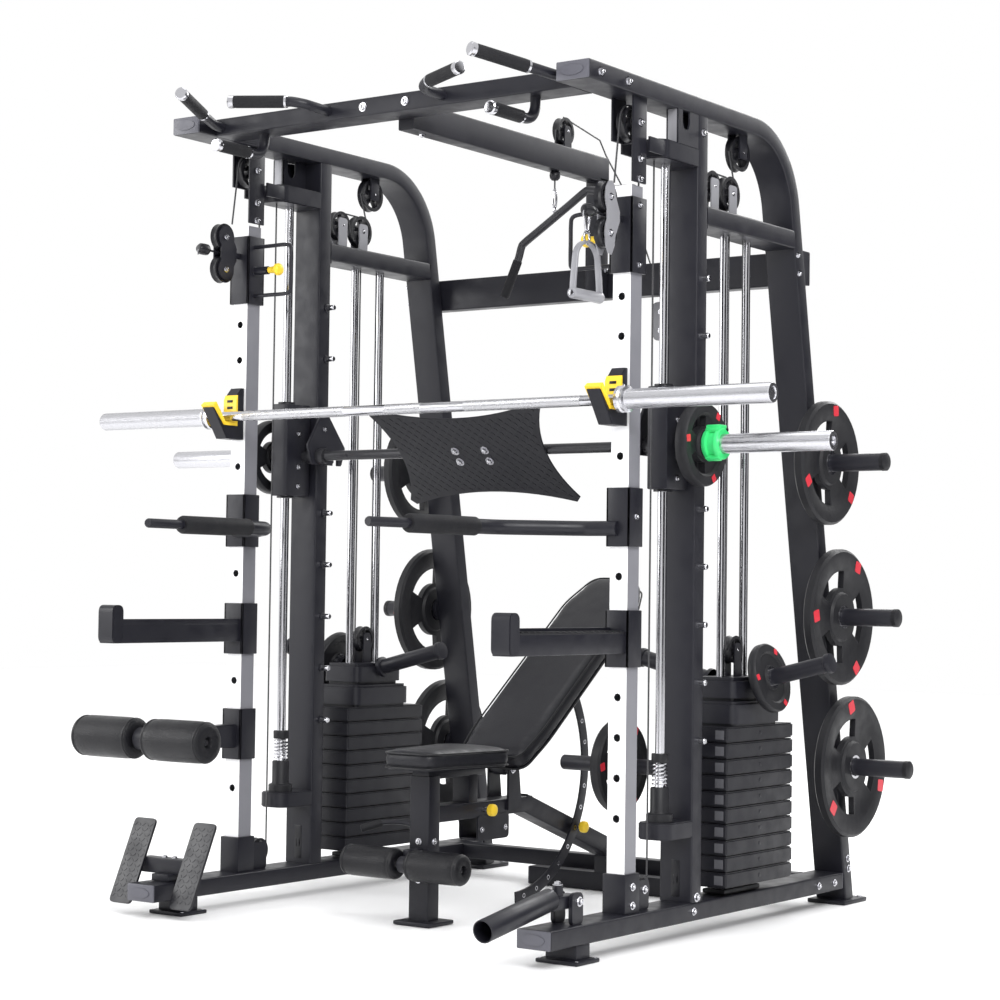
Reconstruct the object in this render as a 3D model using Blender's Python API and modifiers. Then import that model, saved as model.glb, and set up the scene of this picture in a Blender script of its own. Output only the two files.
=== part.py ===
"""Smith machine with two weight stacks, cable pulleys, racked bar, attachments and an adjustable bench.

Metres, +Z up, +X to the user's right. Shapes are laid out with Y = 0 on the front face of the front
uprights and -Y towards the user. Everything hangs from one empty that moves the middle of the machine's
depth to the world origin.
"""

import math

import bmesh
import bpy
from mathutils import Matrix, Vector

# Placing
DEPTH_MIDDLE = 0.3314  # half-way between the dip handles and the lowest storage plates
GAP = 0.0004  # clearance between touching pieces

# Side frames: everything in the side planes is centred on +-SIDE_X
SIDE_X = 0.636
BEAM_HALF_X = 0.048
BEAM_HALF_Z = 0.0237
WALL = 0.003
BASE_TOP = 0.092
BASE_BOTTOM = 0.045
BASE_FRONT = -0.358
BASE_BACK = 1.140
TOP_BEAM_Z = 2.1515
TOP_BEAM_FRONT = -0.236
POST_SLOPE = 0.184  # metres back for each metre down
POST_Y_AT_1M = 1.000
POST_BOTTOM = 0.012
BEND_RADIUS = 0.225
MID_BEAM_Z = 1.8725
MID_BEAM_HALF_Z = 0.0255

# Front uprights
FRONT_HALF = 0.026
FRONT_BOTTOM = 0.0925
FRONT_TOP = 1.905
HOLE_FIRST = 0.3255
HOLE_PITCH = 0.100
HOLE_COUNT = 16
HOLE_RADIUS = 0.0105

# Main uprights
MAIN_FRONT = 0.2875
MAIN_BACK = 0.3380
PEG_Z = [0.505 + 0.150 * i for i in range(9)]
PEG_Y = 0.3225
PEG_INNER = 0.030
PEG_OUTER = 0.018
HOOK_X = (0.547, 0.556)  # the hooks pass just beside the pegs' inner ends

# Smith bar and its guide rods
ROD_Y = 0.205
ROD_RADIUS = 0.0125
ROD_BOTTOM = 0.303
ROD_TOP = 1.990
BAR_Y = 0.250
BAR_Z = 1.267
BAR_RADIUS = 0.014
SLEEVE_RADIUS = 0.025
BAR_HALF = 1.100
CARRIAGE_BOTTOM = 1.151
CARRIAGE_TOP = 1.416

# Weight stacks
STACK_Y = 0.590
STACK_HALF_Y = 0.180
STACK_HALF_X = 0.080
STACK_BOTTOM = 0.118
PLATE_PITCH = 0.042
PLATE_COUNT = 10
STACK_ROD_Y = (0.510, 0.630)
STACK_PULLEY_Z = 0.736
STACK_PULLEY_Y = 0.573

PEG_REACH = 0.296  # loading pegs: sideways reach and rise per metre
PEG_RISE = 0.249

# Racked bar
RACK_BAR_Y = -0.060
RACK_BAR_Z = 1.3617

# Pulleys, handles and the foot press
BASE_WHEEL = (0.1105, 0.142)
SWIVEL_Y = -0.040
PRESS_TILT = math.radians(131)
LAT_TILT = math.radians(32)
LAT_BEND = math.radians(34)
D_HANDLE_X, D_HANDLE_Y = 0.600, -0.107
LANDMINE = (-0.208, 0.146)
ROLLER_AXIS = (-0.350, 0.478)
BENCH_ROLLER = (-0.030, 0.165)

# Attachments on the front uprights: bottom and top of each bracket
JHOOK_Z = (1.300, 1.445)
DIP_Z = (1.000, 1.147)
SPOTTER_Z = (0.700, 0.842)
ROLLER_Z = (0.406, 0.547)
CARRIAGE_Z = (1.684, 1.875)
BRACKET_INSIDE = FRONT_HALF + 0.0006
BRACKET_OUTSIDE = FRONT_HALF + 0.0080

# Storage horns on the rear posts: height and plate radius of each
STORAGE = [("top", 1.256, 0.174), ("middle", 0.824, 0.192), ("low", 0.398, 0.200)]
HORN_RADIUS = 0.0245
HORN_TIP = 0.905
PLATE_INNER_X = 0.703
PLATE_OUTER_X = 0.735

# Bench
SEAT_Z = (0.410, 0.463)
BACK_ANGLE = math.radians(37.5)
BACK_PIVOT = (0.4055, 0.3914)
BACK_LENGTH = 0.820
BACK_THICK = 0.060
BACK_HALF_X = 0.120

PARTS = "smith_machine"
root = None


def clear_scene():
    for obj in list(bpy.data.objects):
        bpy.data.objects.remove(obj, do_unlink=True)


def collection_named(name):
    made = bpy.data.collections.new(name)
    bpy.context.scene.collection.children.link(made)
    return made


def material_named(name, colour, roughness, metallic):
    made = bpy.data.materials.new(name)
    made.use_nodes = True
    shader = made.node_tree.nodes["Principled BSDF"]
    shader.inputs["Base Color"].default_value = (*colour, 1.0)
    shader.inputs["Roughness"].default_value = roughness
    shader.inputs["Metallic"].default_value = metallic
    return made


def object_from(name, mesh):
    """A plain object at the layout's origin."""
    made = bpy.data.objects.new(name, mesh)
    bpy.data.collections[PARTS].objects.link(made)
    return made


def evaluated_mesh(obj):
    bpy.context.view_layer.update()
    graph = bpy.context.evaluated_depsgraph_get()
    return bpy.data.meshes.new_from_object(obj.evaluated_get(graph))


def block(low, high):
    """A box between two corners."""
    low, high = Vector(low), Vector(high)
    size = high - low
    mesh = bpy.data.meshes.new("piece")
    form = bmesh.new()
    place = Matrix.Translation((low + high) / 2) @ Matrix.Diagonal((*size, 1.0))
    bmesh.ops.create_cube(form, size=1.0, matrix=place)
    form.to_mesh(mesh)
    form.free()
    return object_from("piece", mesh)


def round_bar(start, end, radius, sides=12):
    """A straight cylinder or cone between two points."""
    start, end = Vector(start), Vector(end)
    along = end - start
    turn = Vector((0, 0, 1)).rotation_difference(along).to_matrix().to_4x4()
    mesh = bpy.data.meshes.new("piece")
    form = bmesh.new()
    bmesh.ops.create_cone(
        form,
        cap_ends=True,
        segments=sides,
        radius1=radius,
        radius2=radius,
        depth=along.length,
        matrix=Matrix.Translation((start + end) / 2) @ turn,
    )
    form.to_mesh(mesh)
    form.free()
    return object_from("piece", mesh)


def side_plate(outline, x_low, x_high):
    """A flat piece in the Y-Z plane: outline holds (y, z) points, and it spans x_low to x_high."""
    curve = bpy.data.curves.new("piece", "CURVE")
    curve.dimensions = "2D"
    curve.fill_mode = "BOTH"
    curve.extrude = (x_high - x_low) / 2
    spline = curve.splines.new("POLY")
    spline.points.add(len(outline) - 1)
    for point, (y, z) in zip(spline.points, outline):
        point.co = (y, z, 0.0, 1.0)
    spline.use_cyclic_u = True
    # Local X becomes world Y, local Y becomes world Z and local Z becomes world X.
    turn = Matrix(((0, 0, 1, 0), (1, 0, 0, 0), (0, 1, 0, 0), (0, 0, 0, 1)))
    return solid_of_curve(curve, Matrix.Translation(((x_low + x_high) / 2, 0, 0)) @ turn)


def level_plate(outline, z_low, z_high):
    """A flat piece in the X-Y plane: outline holds (x, y) points."""
    curve = bpy.data.curves.new("piece", "CURVE")
    curve.dimensions = "2D"
    curve.fill_mode = "BOTH"
    curve.extrude = (z_high - z_low) / 2
    spline = curve.splines.new("POLY")
    spline.points.add(len(outline) - 1)
    for point, (x, y) in zip(spline.points, outline):
        point.co = (x, y, 0.0, 1.0)
    spline.use_cyclic_u = True
    return solid_of_curve(curve, Matrix.Translation((0, 0, (z_low + z_high) / 2)))


def bent_tube(points, radius, resolution=2):
    """A round tube along a line of points."""
    curve = bpy.data.curves.new("piece", "CURVE")
    curve.dimensions = "3D"
    curve.bevel_depth = radius
    curve.bevel_resolution = resolution
    curve.use_fill_caps = True
    spline = curve.splines.new("POLY")
    spline.points.add(len(points) - 1)
    for point, place in zip(spline.points, points):
        point.co = (*place, 1.0)
    return solid_of_curve(curve, Matrix.Identity(4))


def solid_of_curve(curve, place):
    """Makes the curve a welded mesh object, moved to its place, and drops the curve."""
    holder = object_from("piece_curve", curve)
    mesh = evaluated_mesh(holder)
    bpy.data.objects.remove(holder, do_unlink=True)
    form = bmesh.new()
    form.from_mesh(mesh)
    bmesh.ops.remove_doubles(form, verts=form.verts, dist=0.00001)
    bmesh.ops.transform(form, matrix=place, verts=form.verts)
    bmesh.ops.recalc_face_normals(form, faces=form.faces)
    form.to_mesh(mesh)
    form.free()
    return object_from("piece", mesh)


def turned(profile, centre, axis, steps=16):
    """A body of revolution. profile holds (radius, distance along the axis), closed by the Screw."""
    mesh = bpy.data.meshes.new("piece")
    form = bmesh.new()
    points = [form.verts.new((radius, 0.0, along)) for radius, along in profile]
    edges = [form.edges.new(pair) for pair in zip(points, points[1:])]
    if profile[0][0] > 0 and profile[-1][0] > 0:
        edges.append(form.edges.new((points[-1], points[0])))
    form.to_mesh(mesh)
    form.free()
    holder = object_from("piece", mesh)
    screw = holder.modifiers.new("turn", "SCREW")
    screw.axis = "Z"
    screw.angle = math.tau
    screw.steps = screw.render_steps = steps
    screw.use_merge_vertices = True
    screw.merge_threshold = 0.00001
    mesh = evaluated_mesh(holder)
    bpy.data.objects.remove(holder, do_unlink=True)
    turn = Vector((0, 0, 1)).rotation_difference(Vector(axis)).to_matrix().to_4x4()
    form = bmesh.new()
    form.from_mesh(mesh)
    bmesh.ops.remove_doubles(form, verts=form.verts, dist=0.00001)
    bmesh.ops.transform(form, matrix=Matrix.Translation(centre) @ turn, verts=form.verts)
    bmesh.ops.recalc_face_normals(form, faces=form.faces)
    form.to_mesh(mesh)
    form.free()
    return object_from("piece", mesh)


def ring(inner, outer, start, end, centre, axis, steps=16):
    """A thick washer between two distances along its axis."""
    profile = [(outer, end), (outer, start), (inner, start), (inner, end)]
    return turned(profile, centre, axis, steps)


def combine(target, pieces, operation):
    """Joins pieces to the target, or cuts them from it, one after another, and removes them."""
    for piece in pieces:
        step = target.modifiers.new(operation, "BOOLEAN")
        step.operation = operation
        step.solver = "EXACT"
        step.object = piece
        mesh = evaluated_mesh(target)
        target.modifiers.clear()
        form = bmesh.new()
        form.from_mesh(mesh)
        bmesh.ops.remove_doubles(form, verts=form.verts, dist=0.000002)
        form.to_mesh(mesh)
        form.free()
        target.data = mesh
        bpy.data.objects.remove(piece, do_unlink=True)
    return target


def unite(target, *pieces):
    return combine(target, pieces, "UNION")


def carve(target, *pieces):
    return combine(target, pieces, "DIFFERENCE")


def finish(obj, name, material):
    """Names a finished sub-part and gives it its material and its parent."""
    obj.name = name
    obj.data.name = name
    obj.data.materials.clear()
    obj.data.materials.append(material)
    obj.data.shade_smooth()
    obj.data.set_sharp_from_angle(angle=math.radians(35))
    obj.parent = root
    return obj


def post_y(z):
    """The middle of the leaning rear post at a height."""
    return POST_Y_AT_1M + (1.0 - z) * POST_SLOPE


def side_name(side):
    return "right" if side > 0 else "left"


def hollow_tube(low, high, along, wall=WALL):
    """A rectangular tube, open at both ends."""
    inside_low, inside_high = Vector(low), Vector(high)
    for axis in range(3):
        step = -0.010 if axis == along else wall
        inside_low[axis] += step
        inside_high[axis] -= step
    return carve(block(low, high), block(inside_low, inside_high))


def arch_line():
    """The side frame's centre line in (y, z): level, round the bend, then down the leaning post."""
    down = Vector((POST_SLOPE, -1.0)).normalized()
    corner = Vector((post_y(TOP_BEAM_Z), TOP_BEAM_Z))
    turn = math.pi / 2 - math.atan(POST_SLOPE)
    reach = BEND_RADIUS * math.tan(turn / 2)
    centre = Vector((corner.x - reach, TOP_BEAM_Z - BEND_RADIUS))
    line = [Vector((TOP_BEAM_FRONT, TOP_BEAM_Z))]
    steps = 10
    for i in range(steps + 1):
        angle = math.pi / 2 - turn * i / steps
        line.append(centre + BEND_RADIUS * Vector((math.cos(angle), math.sin(angle))))
    line.append(corner + down * ((TOP_BEAM_Z - POST_BOTTOM) / -down.y))
    return line


def band(line, half, longer):
    """The outline of a strip along a line, its ends made longer by a length."""
    line = list(line)
    line[0] = line[0] + (line[0] - line[1]).normalized() * longer
    line[-1] = line[-1] + (line[-1] - line[-2]).normalized() * longer
    left, right = [], []
    for i, point in enumerate(line):
        before = line[max(i - 1, 0)]
        after = line[min(i + 1, len(line) - 1)]
        along = (after - before).normalized()
        across = Vector((-along.y, along.x)) * half
        left.append(tuple(point + across))
        right.append(tuple(point - across))
    return left + right[::-1]


def make_base_beam(side, steel):
    x = side * SIDE_X
    beam = hollow_tube(
        (x - BEAM_HALF_X, BASE_FRONT, BASE_BOTTOM), (x + BEAM_HALF_X, BASE_BACK, BASE_TOP), along=1
    )
    foot_neck = block((x - 0.045, -0.240, 0.008), (x + 0.045, -0.180, BASE_BOTTOM + 0.001))
    foot_flange = block((x - 0.0600, -0.260, 0.0), (x + 0.0600, -0.160, 0.010))
    socket = block((x - 0.0335, -0.0080, BASE_TOP - 0.001), (x + 0.0335, 0.0600, 0.190))
    wheel_y, wheel_z = BASE_WHEEL
    wheel = round_bar((x - 0.0125, wheel_y, wheel_z), (x + 0.0125, wheel_y, wheel_z), 0.031, 14)
    forks = [
        block((x + low, 0.0590, BASE_TOP - 0.001), (x + low + 0.005, wheel_y + 0.020, wheel_z + 0.020))
        for low in (0.0115, -0.0165)
    ]
    pieces = [foot_neck, foot_flange, socket, *forks, wheel]
    if side > 0:
        for low in (-0.031, 0.020):
            pieces.append(block((x + low, -0.240, BASE_TOP - 0.001), (x + low + 0.011, -0.190, 0.166)))
    unite(beam, *pieces)
    inside = FRONT_HALF + GAP
    well = block((x - inside, -GAP, BASE_TOP + 0.0002), (x + inside, 2 * FRONT_HALF + GAP, 0.3))
    carve(beam, well)
    return finish(beam, "base_beam_" + side_name(side), steel)


def make_front_upright(side, white):
    x = side * SIDE_X
    deep = 2 * FRONT_HALF
    upright = hollow_tube(
        (x - FRONT_HALF, 0.0, FRONT_BOTTOM), (x + FRONT_HALF, deep, FRONT_TOP), along=2, wall=0.0025
    )
    holes = []
    for i in range(HOLE_COUNT):
        z = HOLE_FIRST + HOLE_PITCH * i
        holes.append(round_bar((x, -0.01, z), (x, deep / 2, z), HOLE_RADIUS, 8))
    carve(upright, *holes)
    return finish(upright, "front_upright_" + side_name(side), white)


def rounded_seat(side, y_front, y_back, z_low, z_high):
    """A flat bracket on the main upright with big round front corners."""
    x, half, radius = side * SIDE_X, BEAM_HALF_X, 0.034
    corners = [(x - half, y_front), (x + half, y_front)]
    outline = []
    for corner, start in zip(corners, (180, 270)):
        centre_x = corner[0] + (radius if start == 180 else -radius)
        for i in range(5):
            angle = math.radians(start + 22.5 * i)
            outline.append(
                (centre_x + radius * math.cos(angle), y_front + radius + radius * math.sin(angle))
            )
    outline += [(x + half, y_back), (x - half, y_back)]
    return level_plate(outline, z_low, z_high)


def make_main_upright(side, steel):
    x = side * SIDE_X
    upright = hollow_tube(
        (x - BEAM_HALF_X, MAIN_FRONT, BASE_TOP + GAP),
        (x + BEAM_HALF_X, MAIN_BACK, TOP_BEAM_Z - BEAM_HALF_Z - GAP),
        along=2,
    )
    inside, outside = side * (SIDE_X - BEAM_HALF_X), side * (SIDE_X + BEAM_HALF_X)
    pieces = [
        rounded_seat(side, 0.158, MAIN_FRONT + 0.001, 0.260, ROD_BOTTOM),
        rounded_seat(side, 0.112, MAIN_FRONT + 0.001, ROD_TOP, 2.040),
    ]
    for z in PEG_Z:
        start, end = inside - side * PEG_INNER, outside + side * PEG_OUTER
        pieces.append(round_bar((start, PEG_Y, z), (end, PEG_Y, z), 0.008, 6))
    if side > 0:
        pieces.append(round_bar((inside + 0.001, 0.3125, 0.430), (0.270, 0.3125, 0.430), 0.020, 12))
    unite(upright, *pieces)
    slot = block((x - 0.013, MAIN_FRONT - 0.01, 0.105), (x + 0.013, MAIN_FRONT + 0.01, 0.200))
    carve(upright, slot)
    return finish(upright, "main_upright_" + side_name(side), steel)


def make_side_frame(side, steel):
    x = side * SIDE_X
    line = arch_line()
    frame = side_plate(band(line, BEAM_HALF_Z, 0.0), x - BEAM_HALF_X, x + BEAM_HALF_X)
    inside = side_plate(
        band(line, BEAM_HALF_Z - WALL, 0.010), x - BEAM_HALF_X + WALL, x + BEAM_HALF_X - WALL
    )
    carve(frame, inside)
    half_z = MID_BEAM_HALF_Z
    mid_back = post_y(MID_BEAM_Z) - 0.016
    mid_beam = block(
        (x - BEAM_HALF_X, MAIN_BACK + GAP, MID_BEAM_Z - half_z),
        (x + BEAM_HALF_X, mid_back, MID_BEAM_Z + half_z),
    )
    hollow = block(
        (x - BEAM_HALF_X + WALL, MAIN_BACK - 0.01, MID_BEAM_Z - half_z + WALL),
        (x + BEAM_HALF_X - WALL, mid_back - 0.020, MID_BEAM_Z + half_z - WALL),
    )
    carve(mid_beam, hollow)
    pieces = [mid_beam]
    for low in (0.0275, -0.0340):
        pieces.append(
            block((x + low, -0.006, 1.912), (x + low + 0.0065, 0.056, TOP_BEAM_Z - BEAM_HALF_Z + 0.001))
        )
    foot_y = post_y(POST_BOTTOM)
    pieces.append(block((x - 0.060, foot_y - 0.055, 0.0), (x + 0.060, foot_y + 0.085, POST_BOTTOM + 0.001)))
    for _, z, _ in STORAGE:
        y = post_y(z)
        start = side * (SIDE_X + BEAM_HALF_X - 0.001)
        pieces.append(round_bar((start, y, z), (side * HORN_TIP, y, z), HORN_RADIUS, 12))
        pieces.append(round_bar((start, y, z), (side * 0.697, y, z), 0.036, 12))
    unite(frame, *pieces)
    return finish(frame, "side_frame_" + side_name(side), steel)


def make_front_crossbar(steel):
    front, back = -0.165, -0.070
    reach = SIDE_X - BEAM_HALF_X - GAP
    low, high = TOP_BEAM_Z - BEAM_HALF_Z, TOP_BEAM_Z + BEAM_HALF_Z
    bar = hollow_tube((-reach, front, low), (reach, back, high), along=0)
    grips = []
    for side in (-1, 1):
        outer = [
            (side * 0.568, front + 0.002, 2.150),
            (side * 0.566, front - 0.030, 2.152),
            (side * 0.552, front - 0.070, 2.157),
            (side * 0.472, front - 0.264, 2.185),
        ]
        inner = [
            (side * 0.190, front + 0.002, 2.153),
            (side * 0.190, front - 0.060, 2.155),
            (side * 0.198, front - 0.088, 2.158),
            (side * 0.222, front - 0.108, 2.163),
            (side * 0.376, front - 0.180, 2.167),
        ]
        hanging = [
            (side * 0.450, front + 0.045, low + 0.002),
            (side * 0.450, front + 0.043, low - 0.030),
            (side * 0.450, front + 0.030, low - 0.052),
            (side * 0.450, front + 0.006, low - 0.062),
            (side * 0.450, front - 0.150, low - 0.062),
        ]
        grips += [bent_tube(points, 0.0155) for points in (outer, inner, hanging)]
    unite(bar, *grips)
    return finish(bar, "front_crossbar", steel)


def make_rear_crossbar(steel):
    bar = hollow_tube((-0.670, 0.8858, 1.757), (0.670, 0.9338, 1.852), along=0)
    return finish(bar, "rear_crossbar", steel)


def make_lower_crossbar(steel):
    reach = SIDE_X - BEAM_HALF_X - GAP
    bar = hollow_tube((-reach, 1.030, BASE_BOTTOM), (reach, 1.078, BASE_TOP), along=0)
    return finish(bar, "lower_crossbar", steel)


def make_center_beam(steel):
    beam = hollow_tube((-0.025, -0.070 + GAP, 2.100), (0.025, 0.884, 2.175), along=1)
    post = block((-0.025, 0.835, 1.757), (0.025, 0.8853, 2.110))
    wheel = round_bar((-0.012, 0.675, 2.222), (0.012, 0.675, 2.222), 0.042, 14)
    fork = block((-0.016, 0.650, 2.165), (0.016, 0.700, 2.222))
    stop = round_bar((0, 0.634, 2.072), (0, 0.634, 2.105), 0.015, 10)
    unite(beam, post, wheel, fork, stop)
    return finish(beam, "center_beam", steel)


def make_guide_rod(side, chrome):
    profile = [
        (0.0, ROD_TOP - GAP),
        (ROD_RADIUS, ROD_TOP - GAP),
        (ROD_RADIUS, 0.478),
        (0.021, 0.478),
        (0.021, 0.452),
        (ROD_RADIUS, 0.452),
        (ROD_RADIUS, 0.392),
        (0.023, 0.392),
        (0.025, 0.326),
        (0.034, 0.324),
        (0.034, ROD_BOTTOM + GAP),
        (0.0, ROD_BOTTOM + GAP),
    ]
    rod = turned(profile, (side * SIDE_X, ROD_Y, 0), (0, 0, 1), 14)
    return finish(rod, "guide_rod_" + side_name(side), chrome)


def make_stack_guide(side, chrome):
    x = side * SIDE_X
    guide = block(
        (x - 0.035, STACK_Y - 0.110, BASE_TOP + GAP), (x + 0.035, STACK_Y + 0.085, STACK_BOTTOM - 0.012)
    )
    top = MID_BEAM_Z - MID_BEAM_HALF_Z - GAP
    rods = [round_bar((x, y, 0.100), (x, y, top), 0.0115, 10) for y in STACK_ROD_Y]
    unite(guide, *rods)
    return finish(guide, "stack_guide_" + side_name(side), chrome)


def stack_plates(side, first, last):
    """Weight plates first to last, counted from the bottom, as one block with rod holes."""
    x = side * SIDE_X
    low = STACK_BOTTOM + first * PLATE_PITCH + 0.001
    high = STACK_BOTTOM + last * PLATE_PITCH - 0.001
    return block(
        (x - STACK_HALF_X, STACK_Y - STACK_HALF_Y, low), (x + STACK_HALF_X, STACK_Y + STACK_HALF_Y, high)
    )


def rod_holes(side, low, high):
    x = side * SIDE_X
    return [round_bar((x, y, low), (x, y, high), 0.0135, 10) for y in STACK_ROD_Y]


def make_lower_stack(side, iron):
    stack = stack_plates(side, 0, PLATE_COUNT - 1)
    pad = block(
        (side * SIDE_X - 0.030, STACK_Y - 0.100, STACK_BOTTOM - 0.0115),
        (side * SIDE_X + 0.030, STACK_Y + 0.080, STACK_BOTTOM + 0.002),
    )
    unite(stack, pad)
    carve(stack, *rod_holes(side, 0.05, 0.60))
    return finish(stack, "lower_stack_" + side_name(side), iron)


def make_stack_head(side, iron):
    x = side * SIDE_X
    head = stack_plates(side, PLATE_COUNT - 1, PLATE_COUNT)
    lower = block((x - 0.080, 0.450, 0.535), (x + 0.080, 0.700, 0.602))
    upper = block((x - 0.066, 0.470, 0.600), (x + 0.066, 0.680, 0.665))
    fork = block((x - 0.018, 0.555, 0.660), (x + 0.018, 0.591, STACK_PULLEY_Z))
    wheel = round_bar(
        (x - 0.014, STACK_PULLEY_Y, STACK_PULLEY_Z), (x + 0.014, STACK_PULLEY_Y, STACK_PULLEY_Z), 0.038, 14
    )
    centre = Vector((x, 0.580, 0.636))
    pegs = [
        round_bar(centre, centre + Vector((way * PEG_REACH, 0, PEG_REACH * PEG_RISE)), 0.022, 12)
        for way in (-1, 1)
    ]
    along = Vector((side, 0, PEG_RISE)).normalized()
    disc_middle = centre + along * 0.112
    disc = round_bar(disc_middle - along * 0.0125, disc_middle + along * 0.0125, 0.0925, 16)
    unite(head, lower, upper, fork, wheel, *pegs, disc)
    carve(head, *rod_holes(side, 0.40, 0.70))
    return finish(head, "stack_head_" + side_name(side), iron)


def make_smith_carriage(side, steel):
    x = side * SIDE_X
    body = block((x - 0.030, 0.176, CARRIAGE_BOTTOM), (x + 0.030, 0.276, CARRIAGE_TOP))
    rod_way = round_bar((x, ROD_Y, 1.0), (x, ROD_Y, 1.6), ROD_RADIUS + 0.0012, 14)
    bar_way = round_bar((x - 0.1, BAR_Y, BAR_Z), (x + 0.1, BAR_Y, BAR_Z), BAR_RADIUS + 0.0015, 14)
    carve(body, rod_way, bar_way)
    return finish(body, "smith_carriage_" + side_name(side), steel)


def bar_profile(half, grip, collar_start, collar, collar_end, sleeve):
    """Half-profiles of a bar with sleeves, from one end to the other."""
    right = [
        (0.0, half),
        (sleeve, half),
        (sleeve, collar_end),
        (collar, collar_end),
        (collar, collar_start),
        (grip, collar_start),
    ]
    return right + [(radius, -along) for radius, along in reversed(right)]


def make_smith_bar(chrome):
    profile = bar_profile(BAR_HALF, BAR_RADIUS, 0.688, 0.033, 0.703, SLEEVE_RADIUS)
    bar = turned(profile, (0, BAR_Y, BAR_Z), (1, 0, 0), 16)
    peg_z = PEG_Z[5]
    outline = [
        (BAR_Y - 0.030, BAR_Z - 0.025),
        (PEG_Y - 0.0110, BAR_Z - 0.025),
        (PEG_Y - 0.0110, peg_z + 0.0105),
        (PEG_Y + 0.0110, peg_z + 0.0105),
        (PEG_Y + 0.0110, peg_z - 0.0130),
        (PEG_Y + 0.0280, peg_z - 0.0130),
        (PEG_Y + 0.0440, peg_z + 0.0350),
        (BAR_Y + 0.038, BAR_Z + 0.121),
        (BAR_Y + 0.012, BAR_Z + 0.121),
        (BAR_Y - 0.050, BAR_Z + 0.030),
    ]
    hooks = []
    for side in (-1, 1):
        x_low, x_high = sorted((side * HOOK_X[0], side * HOOK_X[1]))
        hooks.append(side_plate(outline, x_low, x_high))
    unite(bar, *hooks)
    return finish(bar, "smith_bar", chrome)


def concave_outline(half_x, half_y, dip_x, dip_y, steps=6):
    """A rectangle whose four sides curve inwards and whose corners are cut off."""
    corner = 0.014
    outline = []

    def side_points(start, end, push):
        for i in range(steps + 1):
            t = i / steps
            bow = 4 * t * (1 - t)
            outline.append(
                (
                    start[0] + (end[0] - start[0]) * t + push[0] * bow,
                    start[1] + (end[1] - start[1]) * t + push[1] * bow,
                )
            )

    side_points((-half_x + corner, -half_y), (half_x - corner, -half_y), (0, dip_y))
    side_points((half_x, -half_y + corner), (half_x, half_y - corner), (-dip_x, 0))
    side_points((half_x - corner, half_y), (-half_x + corner, half_y), (0, -dip_y))
    side_points((-half_x, half_y - corner), (-half_x, -half_y + corner), (dip_x, 0))
    return outline


def make_leg_press_plate(steel):
    plate = level_plate(concave_outline(0.2885, 0.1665, 0.045, 0.040), 0.0150, 0.0205)
    saddle = block((-0.080, -0.032, -0.020), (0.080, 0.032, 0.0155))
    unite(plate, saddle)
    carve(plate, round_bar((-0.2, 0, 0), (0.2, 0, 0), BAR_RADIUS + GAP, 16))
    lean = Matrix.Translation((0.010, BAR_Y, BAR_Z)) @ Matrix.Rotation(PRESS_TILT, 4, "X")
    plate.data.transform(lean)
    return finish(plate, "leg_press_plate", steel)


def weight_plate(name, side, y, z, radius, inner_x, outer_x, bore, rubber):
    """A round weight plate on a bar or horn that runs along X."""
    disc = ring(bore, radius, inner_x, outer_x, (0, y, z), (side, 0, 0), 20)
    return finish(disc, name, rubber)


def make_bar_clamp(plastic):
    clamp = ring(SLEEVE_RADIUS + GAP, 0.040, 0.744, 0.790, (0, BAR_Y, BAR_Z), (1, 0, 0), 16)
    lever = block((0.746, BAR_Y - 0.020, BAR_Z + 0.032), (0.788, BAR_Y + 0.020, BAR_Z + 0.050))
    unite(clamp, lever)
    return finish(clamp, "bar_clamp", plastic)


def make_barbell(chrome):
    profile = bar_profile(1.100, 0.0140, 0.672, 0.034, 0.696, SLEEVE_RADIUS)
    bar = turned(profile, (0, RACK_BAR_Y, RACK_BAR_Z), (1, 0, 0), 16)
    return finish(bar, "barbell", chrome)


def make_j_hook(side, steel):
    floor = RACK_BAR_Z - 0.0140 - GAP
    outline = [
        (-0.0006, JHOOK_Z[0]),
        (-0.0006, JHOOK_Z[1]),
        (-0.0330, JHOOK_Z[1]),
        (-0.0330, floor),
        (-0.0780, floor),
        (-0.1160, floor + 0.052),
        (-0.1290, floor + 0.044),
        (-0.0700, JHOOK_Z[0]),
    ]
    hook = side_plate(outline, side * SIDE_X - 0.022, side * SIDE_X + 0.022)
    return finish(hook, "j_hook_" + side_name(side), steel)


def upright_bracket(side, z_low, z_high, *pieces, closed=False):
    """A bracket that wraps a front upright, open at the back or closed into a sleeve, with its pieces."""
    x = side * SIDE_X
    back = 2 * FRONT_HALF
    body = block(
        (x - BRACKET_OUTSIDE, -0.0080, z_low),
        (x + BRACKET_OUTSIDE, back + (0.0080 if closed else 0.004), z_high),
    )
    inside = block(
        (x - BRACKET_INSIDE, -0.0006, z_low - 0.01),
        (x + BRACKET_INSIDE, back + (0.0006 if closed else 0.02), z_high + 0.01),
    )
    unite(body, *pieces)
    return carve(body, inside)


def make_spotter_arm(side, steel):
    x = side * SIDE_X
    arm = block((x - 0.027, -0.500, 0.735), (x + 0.027, -0.0075, 0.785))
    liner = block((x - 0.015, -0.480, 0.784), (x + 0.015, -0.0076, 0.792))
    lip = block((x - side * 0.027, -0.480, 0.784), (x - side * 0.021, -0.0076, 0.799))
    tip = side_plate(
        rounded_outline([(-0.506, 0.735), (-0.465, 0.735), (-0.465, 0.836), (-0.506, 0.836)], 0.014, 3),
        x - 0.0275, x + 0.0275,
    )
    bracket = upright_bracket(side, *SPOTTER_Z, arm, liner, lip, tip)
    return finish(bracket, "spotter_arm_" + side_name(side), steel)


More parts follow.
